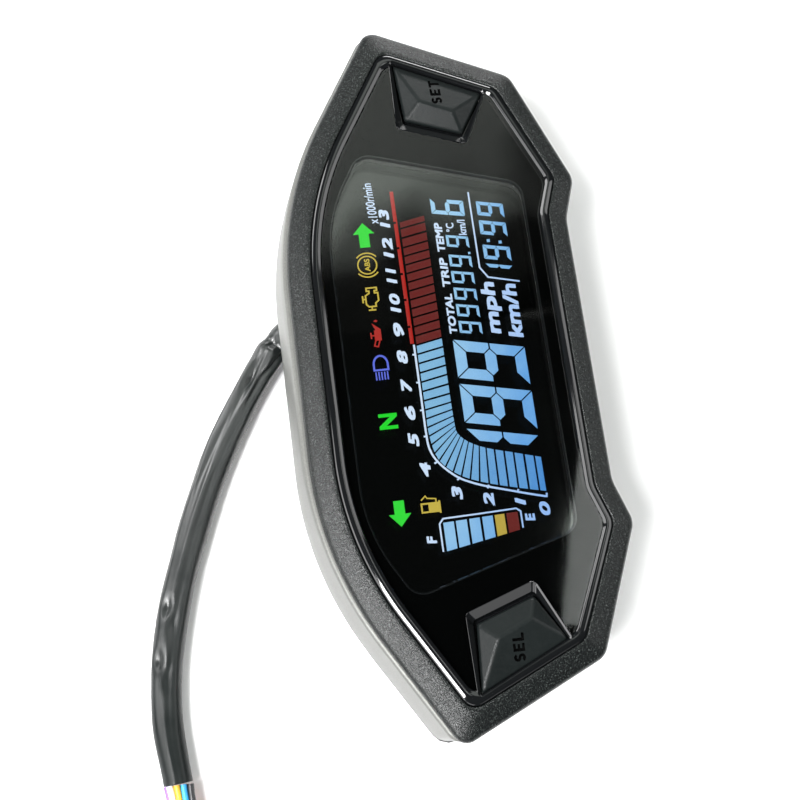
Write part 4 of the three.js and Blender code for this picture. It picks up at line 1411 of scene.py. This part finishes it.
def make_studio():
    make_floor()
    group_clear_panels()
    for light in LIGHTS:
        make_light(*light)
    make_card()
    world = bpy.data.worlds.new("room")
    world.use_nodes = True
    background = world.node_tree.nodes["Background"]
    background.inputs["Color"].default_value = (0.9, 0.95, 1, 1)
    background.inputs["Strength"].default_value = 0.025
    bpy.context.scene.world = world
    bpy.context.scene.view_settings.view_transform = "Standard"


def make_materials():
    wires = {
        "purple": (0.22, 0.10, 0.40), "yellow": (0.80, 0.42, 0.03), "orange": (0.80, 0.28, 0.06),
        "blue": (0.03, 0.30, 0.62), "black": (0.02, 0.02, 0.022), "white": (0.8, 0.8, 0.78),
        "green": (0.04, 0.32, 0.12), "red": (0.52, 0.04, 0.03),
    }
    materials = {f"{name}_wire": moulded(f"{name}_wire", c, 0.35, 700) for name, c in wires.items()}
    materials.update({
        "bezel": spark_texture("textured_bezel"),
        "silver": silver_paint("silver_case"),
        "trim": gloss_black("gloss_trim"),
        "mask": gloss_black("print_black", (0.0005, 0.0006, 0.0006), 0.4, 0.0),
        "lens": clear_panel("smoked_lens", 1.46, (0.94, 0.95, 0.94)),
        "sheet": clear_panel("display_sheet", 1.8, (1, 1, 1)),
        "lcd": gloss_black("lcd_stack", (0.0006, 0.0016, 0.0009), 0.05, 0.4),
        "button": moulded("button_plastic", (0.007, 0.009, 0.009), 0.36, 1600, 0.14, specular=0.16),
        # Near-black painted shade for the inside of the engraved letters on the buttons.
        "engraved_painted_shade": moulded("button_engraved_painted_shade", (0.0008,) * 3, 0.6, 1600, 0.1, specular=0.02),
        "rear": moulded("rear_plastic", (0.022, 0.022, 0.024), 0.55, 1200, 0.2),
        "frame": moulded("frame_plastic", (0.012, 0.012, 0.013), 0.6),
        "rubber": moulded("seal_rubber", (0.02, 0.02, 0.021), 0.75),
        "grey_rubber": moulded("grey_rubber", (0.16, 0.165, 0.17), 0.6),
        "white": moulded("white_plastic", (0.72, 0.72, 0.70), 0.4),
        "connector": moulded("connector_plastic", (0.74, 0.73, 0.70), 0.38, 800, 0.08),
        "board": circuit_board("circuit_board"),
        "chip": moulded("chip_black", (0.02, 0.02, 0.021), 0.5),
        "tin": moulded("tin_plate", (0.62, 0.62, 0.63), 0.3, 800, 0.05, 0.08, 1.0),
        "brass": moulded("insert_brass", (0.62, 0.42, 0.16), 0.3, 900, 0.1, 0.1, 1.0),
        "steel": moulded("screw_steel", (0.5, 0.51, 0.53), 0.3, 900, 0.08, 0.1, 1.0),
        "sleeve": vinyl("sleeve_vinyl"),
    })
    return materials


# ---------------------------------------------------------------- scene
make_camera()
finishes = make_materials()
make_sleeve(finishes)
make_wires(finishes)
dress_nodes(finishes)
make_case(finishes)
make_bezel(finishes)
make_trim(finishes)
make_lens(finishes)
make_mask(finishes)
make_button("set", 1, finishes)
make_button("sel", -1, finishes)
make_display()
make_studio()
